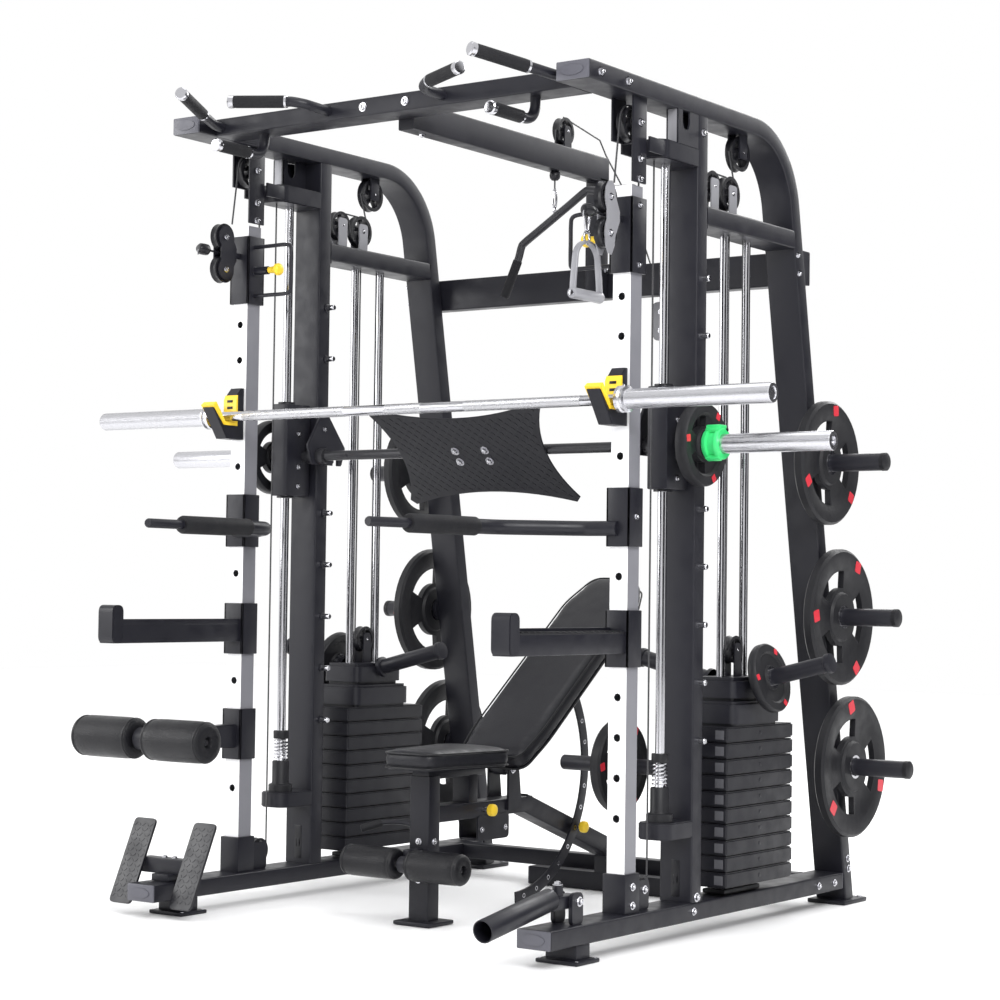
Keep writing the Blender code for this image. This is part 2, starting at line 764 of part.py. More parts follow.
def make_dip_handle(side, steel):
    x, z = side * SIDE_X, 1.045
    near = [(0.000, 0.006), (0.060, 0.012), (0.100, 0.024), (0.235, 0.150), (0.256, 0.190), (0.264, 0.250)]
    path = [(x - side * inward, -ahead, z) for inward, ahead in near]
    grip_start, grip_end = (x - side * 0.264, -0.248, z), (x - side * 0.270, -0.510, z)
    tip = (x - side * 0.283, -0.647, z)
    bracket = upright_bracket(
        side, *DIP_Z, bent_tube(path, 0.019), round_bar(grip_start, grip_end, 0.0235, 14),
        round_bar(grip_end, tip, 0.012, 10),
    )
    return finish(bracket, "dip_handle_" + side_name(side), steel)


def make_pulley_carriage(side, steel):
    x, y = side * SIDE_X, 0.020
    inner = side * (SIDE_X - BRACKET_OUTSIDE)
    rails = [
        block((min(inner + side * 0.016, inner - side * 0.140), y - 0.0055, z - 0.0055),
              (max(inner + side * 0.016, inner - side * 0.140), y + 0.0055, z + 0.0055))
        for z in (1.845, 1.707)
    ]
    grip = round_bar((inner - side * 0.1345, y, 1.708), (inner - side * 0.1345, y, 1.844), 0.0055, 8)
    socket = round_bar((inner + side * 0.014, y, 1.777), (inner - side * 0.050, y, 1.777), 0.0115, 12)
    neck = block((x - 0.0045, -0.0415, 1.8105), (x + 0.0045, 0.0050, 1.8255))
    pivot = round_bar((x, SWIVEL_Y, 1.808), (x, SWIVEL_Y, 1.828), 0.009, 10)
    sleeve = upright_bracket(side, *CARRIAGE_Z, neck, pivot, *rails, grip, socket, closed=True)
    bore = round_bar((inner + side * 0.0055, y, 1.777), (inner - side * 0.060, y, 1.777), 0.0057, 12)
    carve(sleeve, bore)
    return finish(sleeve, "pulley_carriage_" + side_name(side), steel)


def make_pop_pin(side, yellow):
    start = side * (SIDE_X - BRACKET_OUTSIDE - 0.002)
    profile = [
        (0.0, 0.096),
        (0.010, 0.095),
        (0.017, 0.088),
        (0.017, 0.080),
        (0.010, 0.072),
        (0.009, 0.051),
        (0.005, 0.051),
        (0.005, 0.0),
        (0.0, 0.0),
    ]
    pin = turned(profile, (start, 0.020, 1.777), (-side, 0, 0), 12)
    return finish(pin, "pop_pin_" + side_name(side), yellow)


def make_pulley_swivel(side, steel):
    x, y = side * SIDE_X, -0.080
    wheels = [round_bar((x - 0.012, y, z), (x + 0.012, y, z), 0.038, 16) for z in (1.863, 1.773)]
    cheek = [
        (SWIVEL_Y + 0.003, 1.806),
        (SWIVEL_Y + 0.003, 1.830),
        (y + 0.022, 1.878),
        (y + 0.008, 1.892),
        (y - 0.016, 1.886),
        (y - 0.024, 1.862),
        (y - 0.016, 1.818),
        (y - 0.024, 1.774),
        (y - 0.016, 1.748),
        (y + 0.008, 1.742),
        (y + 0.022, 1.756),
    ]
    cheeks = [side_plate(cheek, x - 0.0165, x - 0.0115), side_plate(cheek, x + 0.0115, x + 0.0165)]
    stop = round_bar((x, y - 0.055, 1.822), (x, y - 0.098, 1.822), 0.016, 10)
    lead = round_bar((x, y - 0.010, 1.818), (x, y - 0.060, 1.822), 0.004, 8)
    bridge = block((x - 0.012, y - 0.014, 1.812), (x + 0.012, y - 0.004, 1.830))
    swivel = unite(cheeks[0], cheeks[1], *wheels, bridge, lead, stop)
    return finish(swivel, "pulley_swivel_" + side_name(side), steel)


def make_lat_bar(steel):
    eye = Vector((0, 0.634, 1.965))
    way = Vector((math.cos(LAT_TILT), 0, math.sin(LAT_TILT)))

    def bent_end(sign):
        angle = (LAT_TILT - LAT_BEND) if sign > 0 else (math.pi + LAT_TILT + LAT_BEND)
        end_way = Vector((math.cos(angle), 0, math.sin(angle)))
        elbow = eye + way * sign * 0.123
        return [elbow, elbow + way * sign * 0.008 + end_way * 0.010, elbow + end_way * 0.170]

    points = bent_end(-1)[::-1] + bent_end(1)
    bar = bent_tube(points, 0.0122)
    hanger = round_bar(eye, eye + Vector((0, 0, 0.045)), 0.006, 8)
    unite(bar, hanger)
    return finish(bar, "lat_bar", steel)


def make_d_handle(steel):
    x, y = D_HANDLE_X, D_HANDLE_Y
    loop = [(x, y + 0.060, 1.618)]
    for i in range(9):
        angle = math.pi * i / 8
        loop.append((x, y + 0.052 * math.cos(angle), 1.700 + 0.050 * math.sin(angle)))
    loop.append((x, y - 0.060, 1.618))
    strap = bent_tube(loop, 0.0065, resolution=1)
    hook = round_bar((x, y, 1.748), (x, y, 1.842), 0.006, 8)
    grip = round_bar((x, y - 0.066, 1.618), (x, y + 0.066, 1.618), 0.014, 12)
    unite(strap, hook, grip)
    return finish(strap, "d_handle", steel)


def make_landmine(steel):
    y, z = LANDMINE
    way = Vector((0, -0.270, -0.045)).normalized()
    start = Vector((SIDE_X, -0.290, 0.156))
    tube = carve(
        round_bar(start, start + way * 0.274, 0.0275, 14),
        round_bar(start + way * 0.030, start + way * 0.300, 0.0245, 14),
    )
    yoke = block((SIDE_X - 0.0185, -0.300, 0.130), (SIDE_X + 0.0185, y + 0.016, 0.162))
    post = round_bar((SIDE_X, -0.256, 0.155), (SIDE_X, -0.256, 0.196), 0.013, 10)
    unite(tube, yoke, post)
    return finish(tube, "landmine_tube", steel)


def make_foot_plate(steel):
    x = -SIDE_X
    middle_y, middle_z, lean = -0.2725, 0.140, math.radians(-24)
    cross = block((x - 0.090, middle_y + 0.008, 0.110), (x + 0.090, middle_y + 0.046, 0.152))
    saddle = block((x - 0.030, middle_y - 0.012, BASE_TOP + GAP), (x + 0.030, middle_y + 0.070, 0.112))
    treads = []
    for offset in (-0.110, 0.110):
        corners = [(x + offset + a * 0.040, b * 0.121) for a, b in ((1, 1), (-1, 1), (-1, -1), (1, -1))]
        tread = level_plate(rounded_outline(corners, 0.014, 3), -0.004, 0.004)
        stand = Matrix.Translation((0, middle_y, middle_z)) @ Matrix.Rotation(math.pi / 2 + lean, 4, "X")
        tread.data.transform(stand)
        treads.append(tread)
    unite(cross, saddle, *treads)
    return finish(cross, "foot_plate", steel)


def make_leg_roller_bracket(steel):
    x = -SIDE_X
    y, z = ROLLER_AXIS
    arm = block((x - 0.020, y + 0.010, z - 0.024), (x + 0.020, -0.0075, z + 0.020))
    boss = round_bar((x - 0.021, y, z), (x + 0.021, y, z), 0.030, 14)
    bracket = upright_bracket(-1, *ROLLER_Z, arm, boss)
    carve(bracket, round_bar((x - 0.1, y, z), (x + 0.1, y, z), 0.0110, 12))
    return finish(bracket, "leg_roller_bracket", steel)


def roller_pair(centre, inner, outer, radius, axle):
    """Two foam rollers on one axle along X."""
    right = [
        (0.0, outer),
        (radius * 0.80, outer),
        (radius, outer - 0.014),
        (radius, inner + 0.014),
        (radius * 0.80, inner),
        (axle, inner),
    ]
    profile = right + [(r, -along) for r, along in reversed(right)]
    return turned(profile, centre, (1, 0, 0), 16)


def make_leg_rollers(foam):
    rollers = roller_pair((-SIDE_X, *ROLLER_AXIS), 0.024, 0.232, 0.056, 0.0100)
    return finish(rollers, "leg_rollers", foam)


def make_bench_frame(steel):
    column = block((-0.032, 0.030, 0.010), (0.032, 0.080, 0.400))
    foot = block((-0.060, 0.000, 0.0008), (0.060, 0.110, 0.012))
    beam = block((-0.0300, 0.070, 0.268), (0.0300, 0.520, 0.312))
    slope = side_plate(band([Vector((0.480, 0.295)), Vector((0.950, 0.125))], 0.026, 0.0), -0.0297, 0.0297)
    rear_post = block((-0.0320, 0.932, 0.040), (0.0320, 0.952, 0.160))
    rear_foot = block((-0.270, 0.930, 0.0008), (0.270, 0.978, 0.055))
    seat_rail = block((-0.0280, 0.032, 0.384), (0.0280, 0.290, 0.4095))
    seat_strut = block((-0.0280, 0.215, 0.300), (0.0280, 0.255, 0.390))
    under = block((-0.0320, 0.250, 0.205), (0.0320, 0.400, 0.275))
    pivot_outline = [
        (0.387, 0.280), (0.387, 0.395), (0.3975, 0.4075), (0.415, 0.4075), (0.440, 0.390), (0.455, 0.280)
    ]
    cheeks = [side_plate(pivot_outline, 0.0292, 0.0370), side_plate(pivot_outline, -0.0370, -0.0292)]
    y, z = BENCH_ROLLER
    roller_arm = block((-0.0130, y + 0.008, z - 0.018), (0.0130, 0.034, z + 0.040))
    boss = round_bar((-0.014, y, z), (0.014, y, z), 0.022, 12)
    unite(
        column, foot, beam, slope, rear_post, rear_foot, seat_rail, seat_strut, under, *cheeks,
        roller_arm, boss,
    )
    carve(column, round_bar((-0.1, y, z), (0.1, y, z), 0.0100, 12))
    return finish(column, "bench_frame", steel)


def make_bench_rollers(foam):
    rollers = roller_pair((0, *BENCH_ROLLER), 0.018, 0.195, 0.0415, 0.0090)
    return finish(rollers, "bench_rollers", foam)


def rounded_outline(corners, radius, steps=4):
    """The corners of a convex outline, each rounded with short straight steps."""
    outline = []
    count = len(corners)
    for i in range(count):
        here = Vector(corners[i])
        before = (Vector(corners[i - 1]) - here).normalized()
        after = (Vector(corners[(i + 1) % count]) - here).normalized()
        start, end = here + before * radius, here + after * radius
        for j in range(steps + 1):
            t = j / steps
            point = start * (1 - t) ** 2 + here * 2 * t * (1 - t) + end * t**2
            outline.append(tuple(point))
    return outline


def make_seat_pad(leather):
    corners = [(-0.080, -0.035), (0.080, -0.035), (0.125, 0.285), (-0.125, 0.285)]
    pad = level_plate(rounded_outline(corners, 0.032), *SEAT_Z)
    return finish(pad, "seat_pad", leather)


def back_place():
    """Turns and moves a pad drawn along +Y from its lower end to the bench's leaning back."""
    lower_end = Vector((0, 0.3695, 0.3890))
    return Matrix.Translation(lower_end) @ Matrix.Rotation(BACK_ANGLE, 4, "X")


def make_back_pad(leather):
    corners = [
        (-0.105, 0.0),
        (0.105, 0.0),
        (BACK_HALF_X, 0.120),
        (BACK_HALF_X, BACK_LENGTH - 0.120),
        (0.080, BACK_LENGTH),
        (-0.080, BACK_LENGTH),
        (-BACK_HALF_X, BACK_LENGTH - 0.120),
        (-BACK_HALF_X, 0.120),
    ]
    pad = level_plate(rounded_outline(corners, 0.030, 3), 0.0, BACK_THICK)
    pad.data.transform(back_place())
    return finish(pad, "back_pad", leather)


def make_back_frame(steel):
    spine = block((-0.0200, 0.015, -0.0300), (0.0200, 0.660, -GAP))
    ladder_foot = block((0.0190, 0.335, -0.0300), (0.0480, 0.385, -0.0060))
    unite(spine, ladder_foot)
    spine.data.transform(back_place())
    pivot_y, pivot_z = BACK_PIVOT
    hub = round_bar((-0.0285, pivot_y, pivot_z), (0.0285, pivot_y, pivot_z), 0.014, 10)
    arc = []
    for i in range(13):
        angle = math.radians(37 - 125 * i / 12)
        arc.append(Vector((pivot_y + 0.355 * math.cos(angle), pivot_z + 0.355 * math.sin(angle))))
    ladder = side_plate(band(arc, 0.016, 0.0), 0.0400, 0.0460)
    unite(spine, hub, ladder)
    return finish(spine, "back_frame", steel)


def make_cable(side, wire):
    """Over the head wheel, down behind the upright, round the base wheel and up beside the guide rod."""
    x = side * SIDE_X
    head_y, head_z, head_r = 0.0275, 2.064, 0.0475
    base_y, base_z = BASE_WHEEL
    points = [(x, -0.036, 1.915)]
    for i in range(9):
        angle = math.radians(180 - 22.5 * i)
        points.append((x, head_y + head_r * math.cos(angle), head_z + head_r * math.sin(angle)))
    for i in range(9):
        angle = math.radians(180 + 22.5 * i)
        points.append((x, base_y + 0.0355 * math.cos(angle), base_z + 0.0355 * math.sin(angle)))
    points.append((x, base_y + 0.0355, ROD_TOP - 0.001))
    return finish(bent_tube(points, 0.0028), "cable_" + side_name(side), wire)


def main():
    global root
    clear_scene()
    collection_named(PARTS)
    root = bpy.data.objects.new("machine_origin", None)
    bpy.data.collections[PARTS].objects.link(root)
    root.location = (0, -DEPTH_MIDDLE, 0)

    steel = material_named("black_steel", (0.020, 0.021, 0.024), 0.42, 0.1)
    white = material_named("white_steel", (0.82, 0.82, 0.83), 0.35, 0.0)
    chrome = material_named("chrome", (0.75, 0.75, 0.77), 0.18, 1.0)
    black_bar = material_named("black_bar", (0.03, 0.03, 0.035), 0.35, 0.4)
    iron = material_named("stack_iron", (0.025, 0.026, 0.029), 0.5, 0.1)
    rubber = material_named("rubber", (0.022, 0.022, 0.024), 0.6, 0.0)
    foam = material_named("foam", (0.018, 0.018, 0.020), 0.7, 0.0)
    leather = material_named("vinyl", (0.035, 0.036, 0.040), 0.45, 0.0)
    yellow = material_named("yellow_plastic", (0.90, 0.66, 0.02), 0.4, 0.0)
    green = material_named("green_plastic", (0.05, 0.65, 0.18), 0.4, 0.0)
    grey = material_named("grey_steel", (0.20, 0.20, 0.21), 0.4, 0.3)
    wire = material_named("black_cable", (0.02, 0.02, 0.02), 0.5, 0.0)

    for side in (-1, 1):
        end = side_name(side)
        make_base_beam(side, steel)
        make_front_upright(side, white)
        make_main_upright(side, steel)
        make_side_frame(side, steel)
        make_guide_rod(side, chrome)
        make_stack_guide(side, chrome)
        make_lower_stack(side, iron)
        make_stack_head(side, iron)
        make_smith_carriage(side, steel)
        make_j_hook(side, steel)
        make_spotter_arm(side, steel)
        make_dip_handle(side, steel)
        make_pulley_carriage(side, steel)
        make_pulley_swivel(side, grey)
        make_pop_pin(side, yellow)
        make_cable(side, wire)
        for level, z, radius in STORAGE:
            weight_plate(
                "storage_plate_" + level + "_" + end, side, post_y(z), z, radius,
                PLATE_INNER_X, PLATE_OUTER_X, HORN_RADIUS + 0.0012, rubber,
            )
        weight_plate(
            "smith_plate_" + end, side, BAR_Y, BAR_Z, 0.108, 0.706, 0.740, SLEEVE_RADIUS + GAP, rubber
        )
    weight_plate("inner_plate", 1, 0.3125, 0.430, 0.123, 0.430, 0.462, 0.0212, rubber)

    make_front_crossbar(steel)
    make_rear_crossbar(steel)
    make_lower_crossbar(steel)
    make_center_beam(steel)
    make_smith_bar(black_bar)
    make_leg_press_plate(steel)
    make_bar_clamp(green)
    make_barbell(chrome)
    make_lat_bar(steel)
    make_d_handle(grey)
    make_landmine(steel)
    make_foot_plate(steel)
    make_leg_roller_bracket(steel)
    make_leg_rollers(foam)
    make_bench_frame(steel)
    make_bench_rollers(foam)
    make_seat_pad(leather)
    make_back_pad(leather)
    make_back_frame(steel)
    bpy.context.view_layer.update()


main()
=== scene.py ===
"""The looks of the Smith machine: bevelled steel, turned parts, pads, cables, materials, light and camera."""

import math

import bmesh
import bpy
from mathutils import Matrix, Vector


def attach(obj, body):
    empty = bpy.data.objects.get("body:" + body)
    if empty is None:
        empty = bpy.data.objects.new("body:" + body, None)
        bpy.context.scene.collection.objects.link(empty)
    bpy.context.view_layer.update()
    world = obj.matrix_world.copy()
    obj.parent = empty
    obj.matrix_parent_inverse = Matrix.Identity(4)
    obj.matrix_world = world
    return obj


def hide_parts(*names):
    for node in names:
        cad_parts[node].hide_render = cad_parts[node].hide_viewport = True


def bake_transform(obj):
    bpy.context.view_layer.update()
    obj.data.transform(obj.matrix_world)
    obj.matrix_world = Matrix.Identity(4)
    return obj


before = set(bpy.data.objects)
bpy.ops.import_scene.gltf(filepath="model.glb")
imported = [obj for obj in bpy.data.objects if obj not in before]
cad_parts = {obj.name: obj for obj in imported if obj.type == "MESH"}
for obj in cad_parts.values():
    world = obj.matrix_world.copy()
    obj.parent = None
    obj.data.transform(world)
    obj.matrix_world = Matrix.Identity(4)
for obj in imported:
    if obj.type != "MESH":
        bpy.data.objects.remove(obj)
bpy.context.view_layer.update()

# Shapes are laid out with Y = 0 on the front face of the front uprights, and moved back by SHIFT.
SHIFT = Vector((0, -0.3314, 0))
ENDS = {-1: "left", 1: "right"}
SIDE_X = 0.636  # the middle of each side's beams, rods and stacks
HALF = 0.048  # half a main tube's width
TOP_Z = 2.1515  # the middle of the top beams
LEAN, BEND = 0.184, 0.225  # the rear post's slope and its bend's radius
ROD_Y = 0.205
PEG_Y = 0.3225
SMITH_BAR = (0, 0.250, 1.267)
BARBELL_Y, BARBELL_Z = -0.060, 1.3617
STACK_WHEEL_Y, STACK_WHEEL_Z = 0.573, 0.736
SWIVEL_WHEELS = (1.863, 1.773)
LEG_ROLLERS = (-SIDE_X, -0.350, 0.478)
BENCH_ROLLERS = (0, -0.030, 0.165)
PIVOT_Y, PIVOT_Z, LADDER_RADIUS = 0.4055, 0.3914, 0.355
CABLE = 0.0024


# ---------------------------------------------------------------- materials

def new_material(name, colour, roughness, metallic=0.0):
    made = bpy.data.materials.new(name)
    made.use_nodes = True
    nodes, links = made.node_tree.nodes, made.node_tree.links
    shader = nodes["Principled BSDF"]
    shader.inputs["Base Color"].default_value = (*colour, 1)
    shader.inputs["Roughness"].default_value = roughness
    shader.inputs["Metallic"].default_value = metallic
    return made, nodes, links, shader


def coordinates(nodes):
    return nodes.new("ShaderNodeTexCoord").outputs["Object"]


def noise(nodes, links, scale, detail=3.0):
    made = nodes.new("ShaderNodeTexNoise")
    made.inputs["Scale"].default_value = scale
    made.inputs["Detail"].default_value = detail
    links.new(coordinates(nodes), made.inputs["Vector"])
    return made.outputs["Fac"]


def ramp(nodes, links, source, low, high, start=0.35, end=0.65):
    made = nodes.new("ShaderNodeMapRange")
    made.inputs["From Min"].default_value = start
    made.inputs["From Max"].default_value = end
    made.inputs["To Min"].default_value = low
    made.inputs["To Max"].default_value = high
    links.new(source, made.inputs["Value"])
    return made.outputs["Result"]


def mixed(nodes, links, factor, first, second):
    made = nodes.new("ShaderNodeMix")
    made.data_type = "RGBA"
    for name, value in (("A", first), ("B", second)):
        socket = [s for s in made.inputs if s.name == name and s.type == "RGBA"][0]
        if isinstance(value, tuple):
            socket.default_value = (*value, 1)
        else:
            links.new(value, socket)
    links.new(factor, made.inputs["Factor"])
    return [s for s in made.outputs if s.type == "RGBA"][0]


def bumped(nodes, links, shader, height, strength, distance):
    made = nodes.new("ShaderNodeBump")
    made.inputs["Strength"].default_value = strength
    made.inputs["Distance"].default_value = distance
    links.new(height, made.inputs["Height"])
    links.new(made.outputs["Normal"], shader.inputs["Normal"])


def uneven(nodes, links, shader, scale, low, high):
    """Lets the gloss drift between two roughness values."""
    links.new(ramp(nodes, links, noise(nodes, links, scale), low, high), shader.inputs["Roughness"])


def coated(name, dark, light, rough_low, rough_high, grain=420.0, bump=0.10, metallic=0.0, gloss=0.5):
    """A painted or moulded finish: slow colour drift, uneven gloss and a fine grain."""
    made, nodes, links, shader = new_material(name, dark, rough_low, metallic)
    shader.inputs["Specular IOR Level"].default_value = gloss
    slow = noise(nodes, links, 3.0)
    links.new(mixed(nodes, links, slow, dark, light), shader.inputs["Base Color"])
    uneven(nodes, links, shader, 22.0, rough_low, rough_high)
    bumped(nodes, links, shader, noise(nodes, links, grain, 2.0), bump, 0.0006)
    return made


def polished(name, colour, rough_low, rough_high, grain=(9.0, 300.0, 300.0)):
    """Chrome with faint polishing lines."""
    made, nodes, links, shader = new_material(name, colour, rough_low, 1.0)
    mapping = nodes.new("ShaderNodeMapping")
    mapping.inputs["Scale"].default_value = grain
    links.new(coordinates(nodes), mapping.inputs["Vector"])
    lines = nodes.new("ShaderNodeTexNoise")
    lines.inputs["Scale"].default_value = 3.0
    links.new(mapping.outputs["Vector"], lines.inputs["Vector"])
    links.new(ramp(nodes, links, lines.outputs["Fac"], rough_low, rough_high), shader.inputs["Roughness"])
    drift = noise(nodes, links, 5.0)
    links.new(mixed(nodes, links, drift, colour, tuple(c * 0.9 for c in colour)),
        shader.inputs["Base Color"])
    return made


def grained(name, dark, light, rough, cell, strength, distance=0.0008, gloss=0.4):
    """Leather or foam skin: small cells with creases between them, the creases painted darker as shade."""
    made, nodes, links, shader = new_material(name, dark, rough)
    shader.inputs["Specular IOR Level"].default_value = gloss
    cells = nodes.new("ShaderNodeTexVoronoi")
    cells.feature = "DISTANCE_TO_EDGE"
    cells.inputs["Scale"].default_value = cell
    links.new(coordinates(nodes), cells.inputs["Vector"])
    crease_and_painted_shade = ramp(nodes, links, cells.outputs["Distance"], 0.0, 1.0, 0.0, 0.25)
    # Painted shade: the creases between cells get the darker colour.
    links.new(mixed(nodes, links, crease_and_painted_shade, dark, light), shader.inputs["Base Color"])
    uneven(nodes, links, shader, 14.0, rough - 0.06, rough + 0.08)
    bumped(nodes, links, shader, crease_and_painted_shade, strength, distance)
    return made


def upright_paint(name):
    """White front and back faces, with grey sides."""
    made, nodes, links, shader = new_material(name, (0.9, 0.9, 0.91), 0.35)
    split = nodes.new("ShaderNodeSeparateXYZ")
    links.new(nodes.new("ShaderNodeTexCoord").outputs["Normal"], split.inputs["Vector"])
    size = nodes.new("ShaderNodeMath")
    size.operation = "ABSOLUTE"
    links.new(split.outputs["X"], size.inputs[0])
    side = ramp(nodes, links, size.outputs[0], 0.0, 1.0, 0.7, 0.8)
    drift = noise(nodes, links, 6.0)
    white = mixed(nodes, links, drift, (0.93, 0.93, 0.94), (0.86, 0.86, 0.88))
    grey = mixed(nodes, links, drift, (0.20, 0.20, 0.22), (0.16, 0.16, 0.18))
    links.new(mixed(nodes, links, side, white, grey), shader.inputs["Base Color"])
    uneven(nodes, links, shader, 20.0, 0.30, 0.42)
    bumped(nodes, links, shader, noise(nodes, links, 420.0, 2.0), 0.08, 0.0005)
    return made


def twisted(name, dark, light, scale, rough, metallic):
    """Fine slanting strands, for wire rope and knurling, with the grooves between strands painted darker as
    shade.
    """
    made, nodes, links, shader = new_material(name, dark, rough, metallic)
    wave = nodes.new("ShaderNodeTexWave")
    wave.bands_direction = "DIAGONAL"
    wave.inputs["Scale"].default_value = scale
    links.new(coordinates(nodes), wave.inputs["Vector"])
    # Painted shade: the grooves between strands get the darker colour, the crests the lighter one.
    links.new(mixed(nodes, links, wave.outputs["Fac"], dark, light), shader.inputs["Base Color"])
    uneven(nodes, links, shader, 30.0, rough - 0.05, rough + 0.08)
    bumped(nodes, links, shader, wave.outputs["Fac"], 0.5, 0.0005)
    return made


STEEL = coated("black_powder_coat", (0.0085, 0.0085, 0.0125), (0.0130, 0.0130, 0.0185), 0.34, 0.46,
    gloss=0.32)
UPRIGHT = upright_paint("white_powder_coat")
GREY = coated("grey_plates", (0.22, 0.22, 0.24), (0.30, 0.30, 0.32), 0.32, 0.45, metallic=0.2)
CAP = coated("grey_plastic_cap", (0.075, 0.075, 0.092), (0.110, 0.110, 0.130), 0.34, 0.48)
CHROME = polished("chrome_finish", (0.56, 0.56, 0.59), 0.10, 0.22)
ROD = polished("rod_chrome", (0.64, 0.64, 0.67), 0.08, 0.16, (300.0, 300.0, 9.0))
SLEEVE = polished("sleeve_chrome", (0.60, 0.60, 0.63), 0.20, 0.34)
DARK_BAR = coated("black_bar_finish", (0.018, 0.018, 0.022), (0.032, 0.032, 0.036), 0.25, 0.40,
    metallic=0.3)
KNURL = twisted("knurled_chrome", (0.42, 0.42, 0.44), (0.62, 0.62, 0.64), 260.0, 0.26, 1.0)
IRON = coated("stack_paint", (0.0065, 0.0065, 0.0095), (0.0105, 0.0105, 0.0145), 0.38, 0.52, 260.0, 0.2,
    gloss=0.3)
RUBBER = coated("plate_rubber", (0.0075, 0.0075, 0.0095), (0.0125, 0.0125, 0.0150), 0.42, 0.58, 240.0, 0.25,
    gloss=0.3)
PLASTIC = coated("pulley_plastic", (0.006, 0.006, 0.008), (0.010, 0.010, 0.013), 0.28, 0.42, gloss=0.35)
GRIP = grained("foam_grip", (0.006, 0.006, 0.008), (0.013, 0.013, 0.015), 0.62, 420.0, 0.4, 0.0005, 0.25)
VINYL = grained("pad_vinyl", (0.008, 0.008, 0.011), (0.014, 0.014, 0.018), 0.40, 300.0, 0.22, 0.0004, 0.3)
ROLL = grained("roller_skin", (0.004, 0.004, 0.006), (0.009, 0.009, 0.011), 0.38, 190.0, 0.45, 0.0008, 0.3)
PIPING = coated("pad_piping", (0.006, 0.006, 0.008), (0.010, 0.010, 0.012), 0.36, 0.46, gloss=0.35)
YELLOW = coated("yellow_moulding", (0.86, 0.56, 0.02), (0.93, 0.65, 0.04), 0.34, 0.46)
GREEN = coated("green_moulding", (0.02, 0.55, 0.13), (0.05, 0.68, 0.20), 0.30, 0.42)
RED = coated("red_inlay", (0.52, 0.015, 0.03), (0.62, 0.03, 0.05), 0.36, 0.46)
LABEL = coated("grey_label", (0.060, 0.060, 0.068), (0.085, 0.085, 0.095), 0.40, 0.52)
TREAD = coated("checker_plate", (0.007, 0.007, 0.010), (0.012, 0.012, 0.016), 0.30, 0.42, 300.0, 0.15,
    gloss=0.4)
WIRE = twisted("coated_cable", (0.015, 0.015, 0.017), (0.05, 0.05, 0.055), 500.0, 0.4, 0.0)


# ---------------------------------------------------------------- shapes

def facing(axis):
    """The turn that takes Z to an axis."""
    return Vector((0, 0, 1)).rotation_difference(Vector(axis)).to_matrix().to_4x4()


def placed(name, data):
    made = bpy.data.objects.new(name, data)
    bpy.context.scene.collection.objects.link(made)
    return made


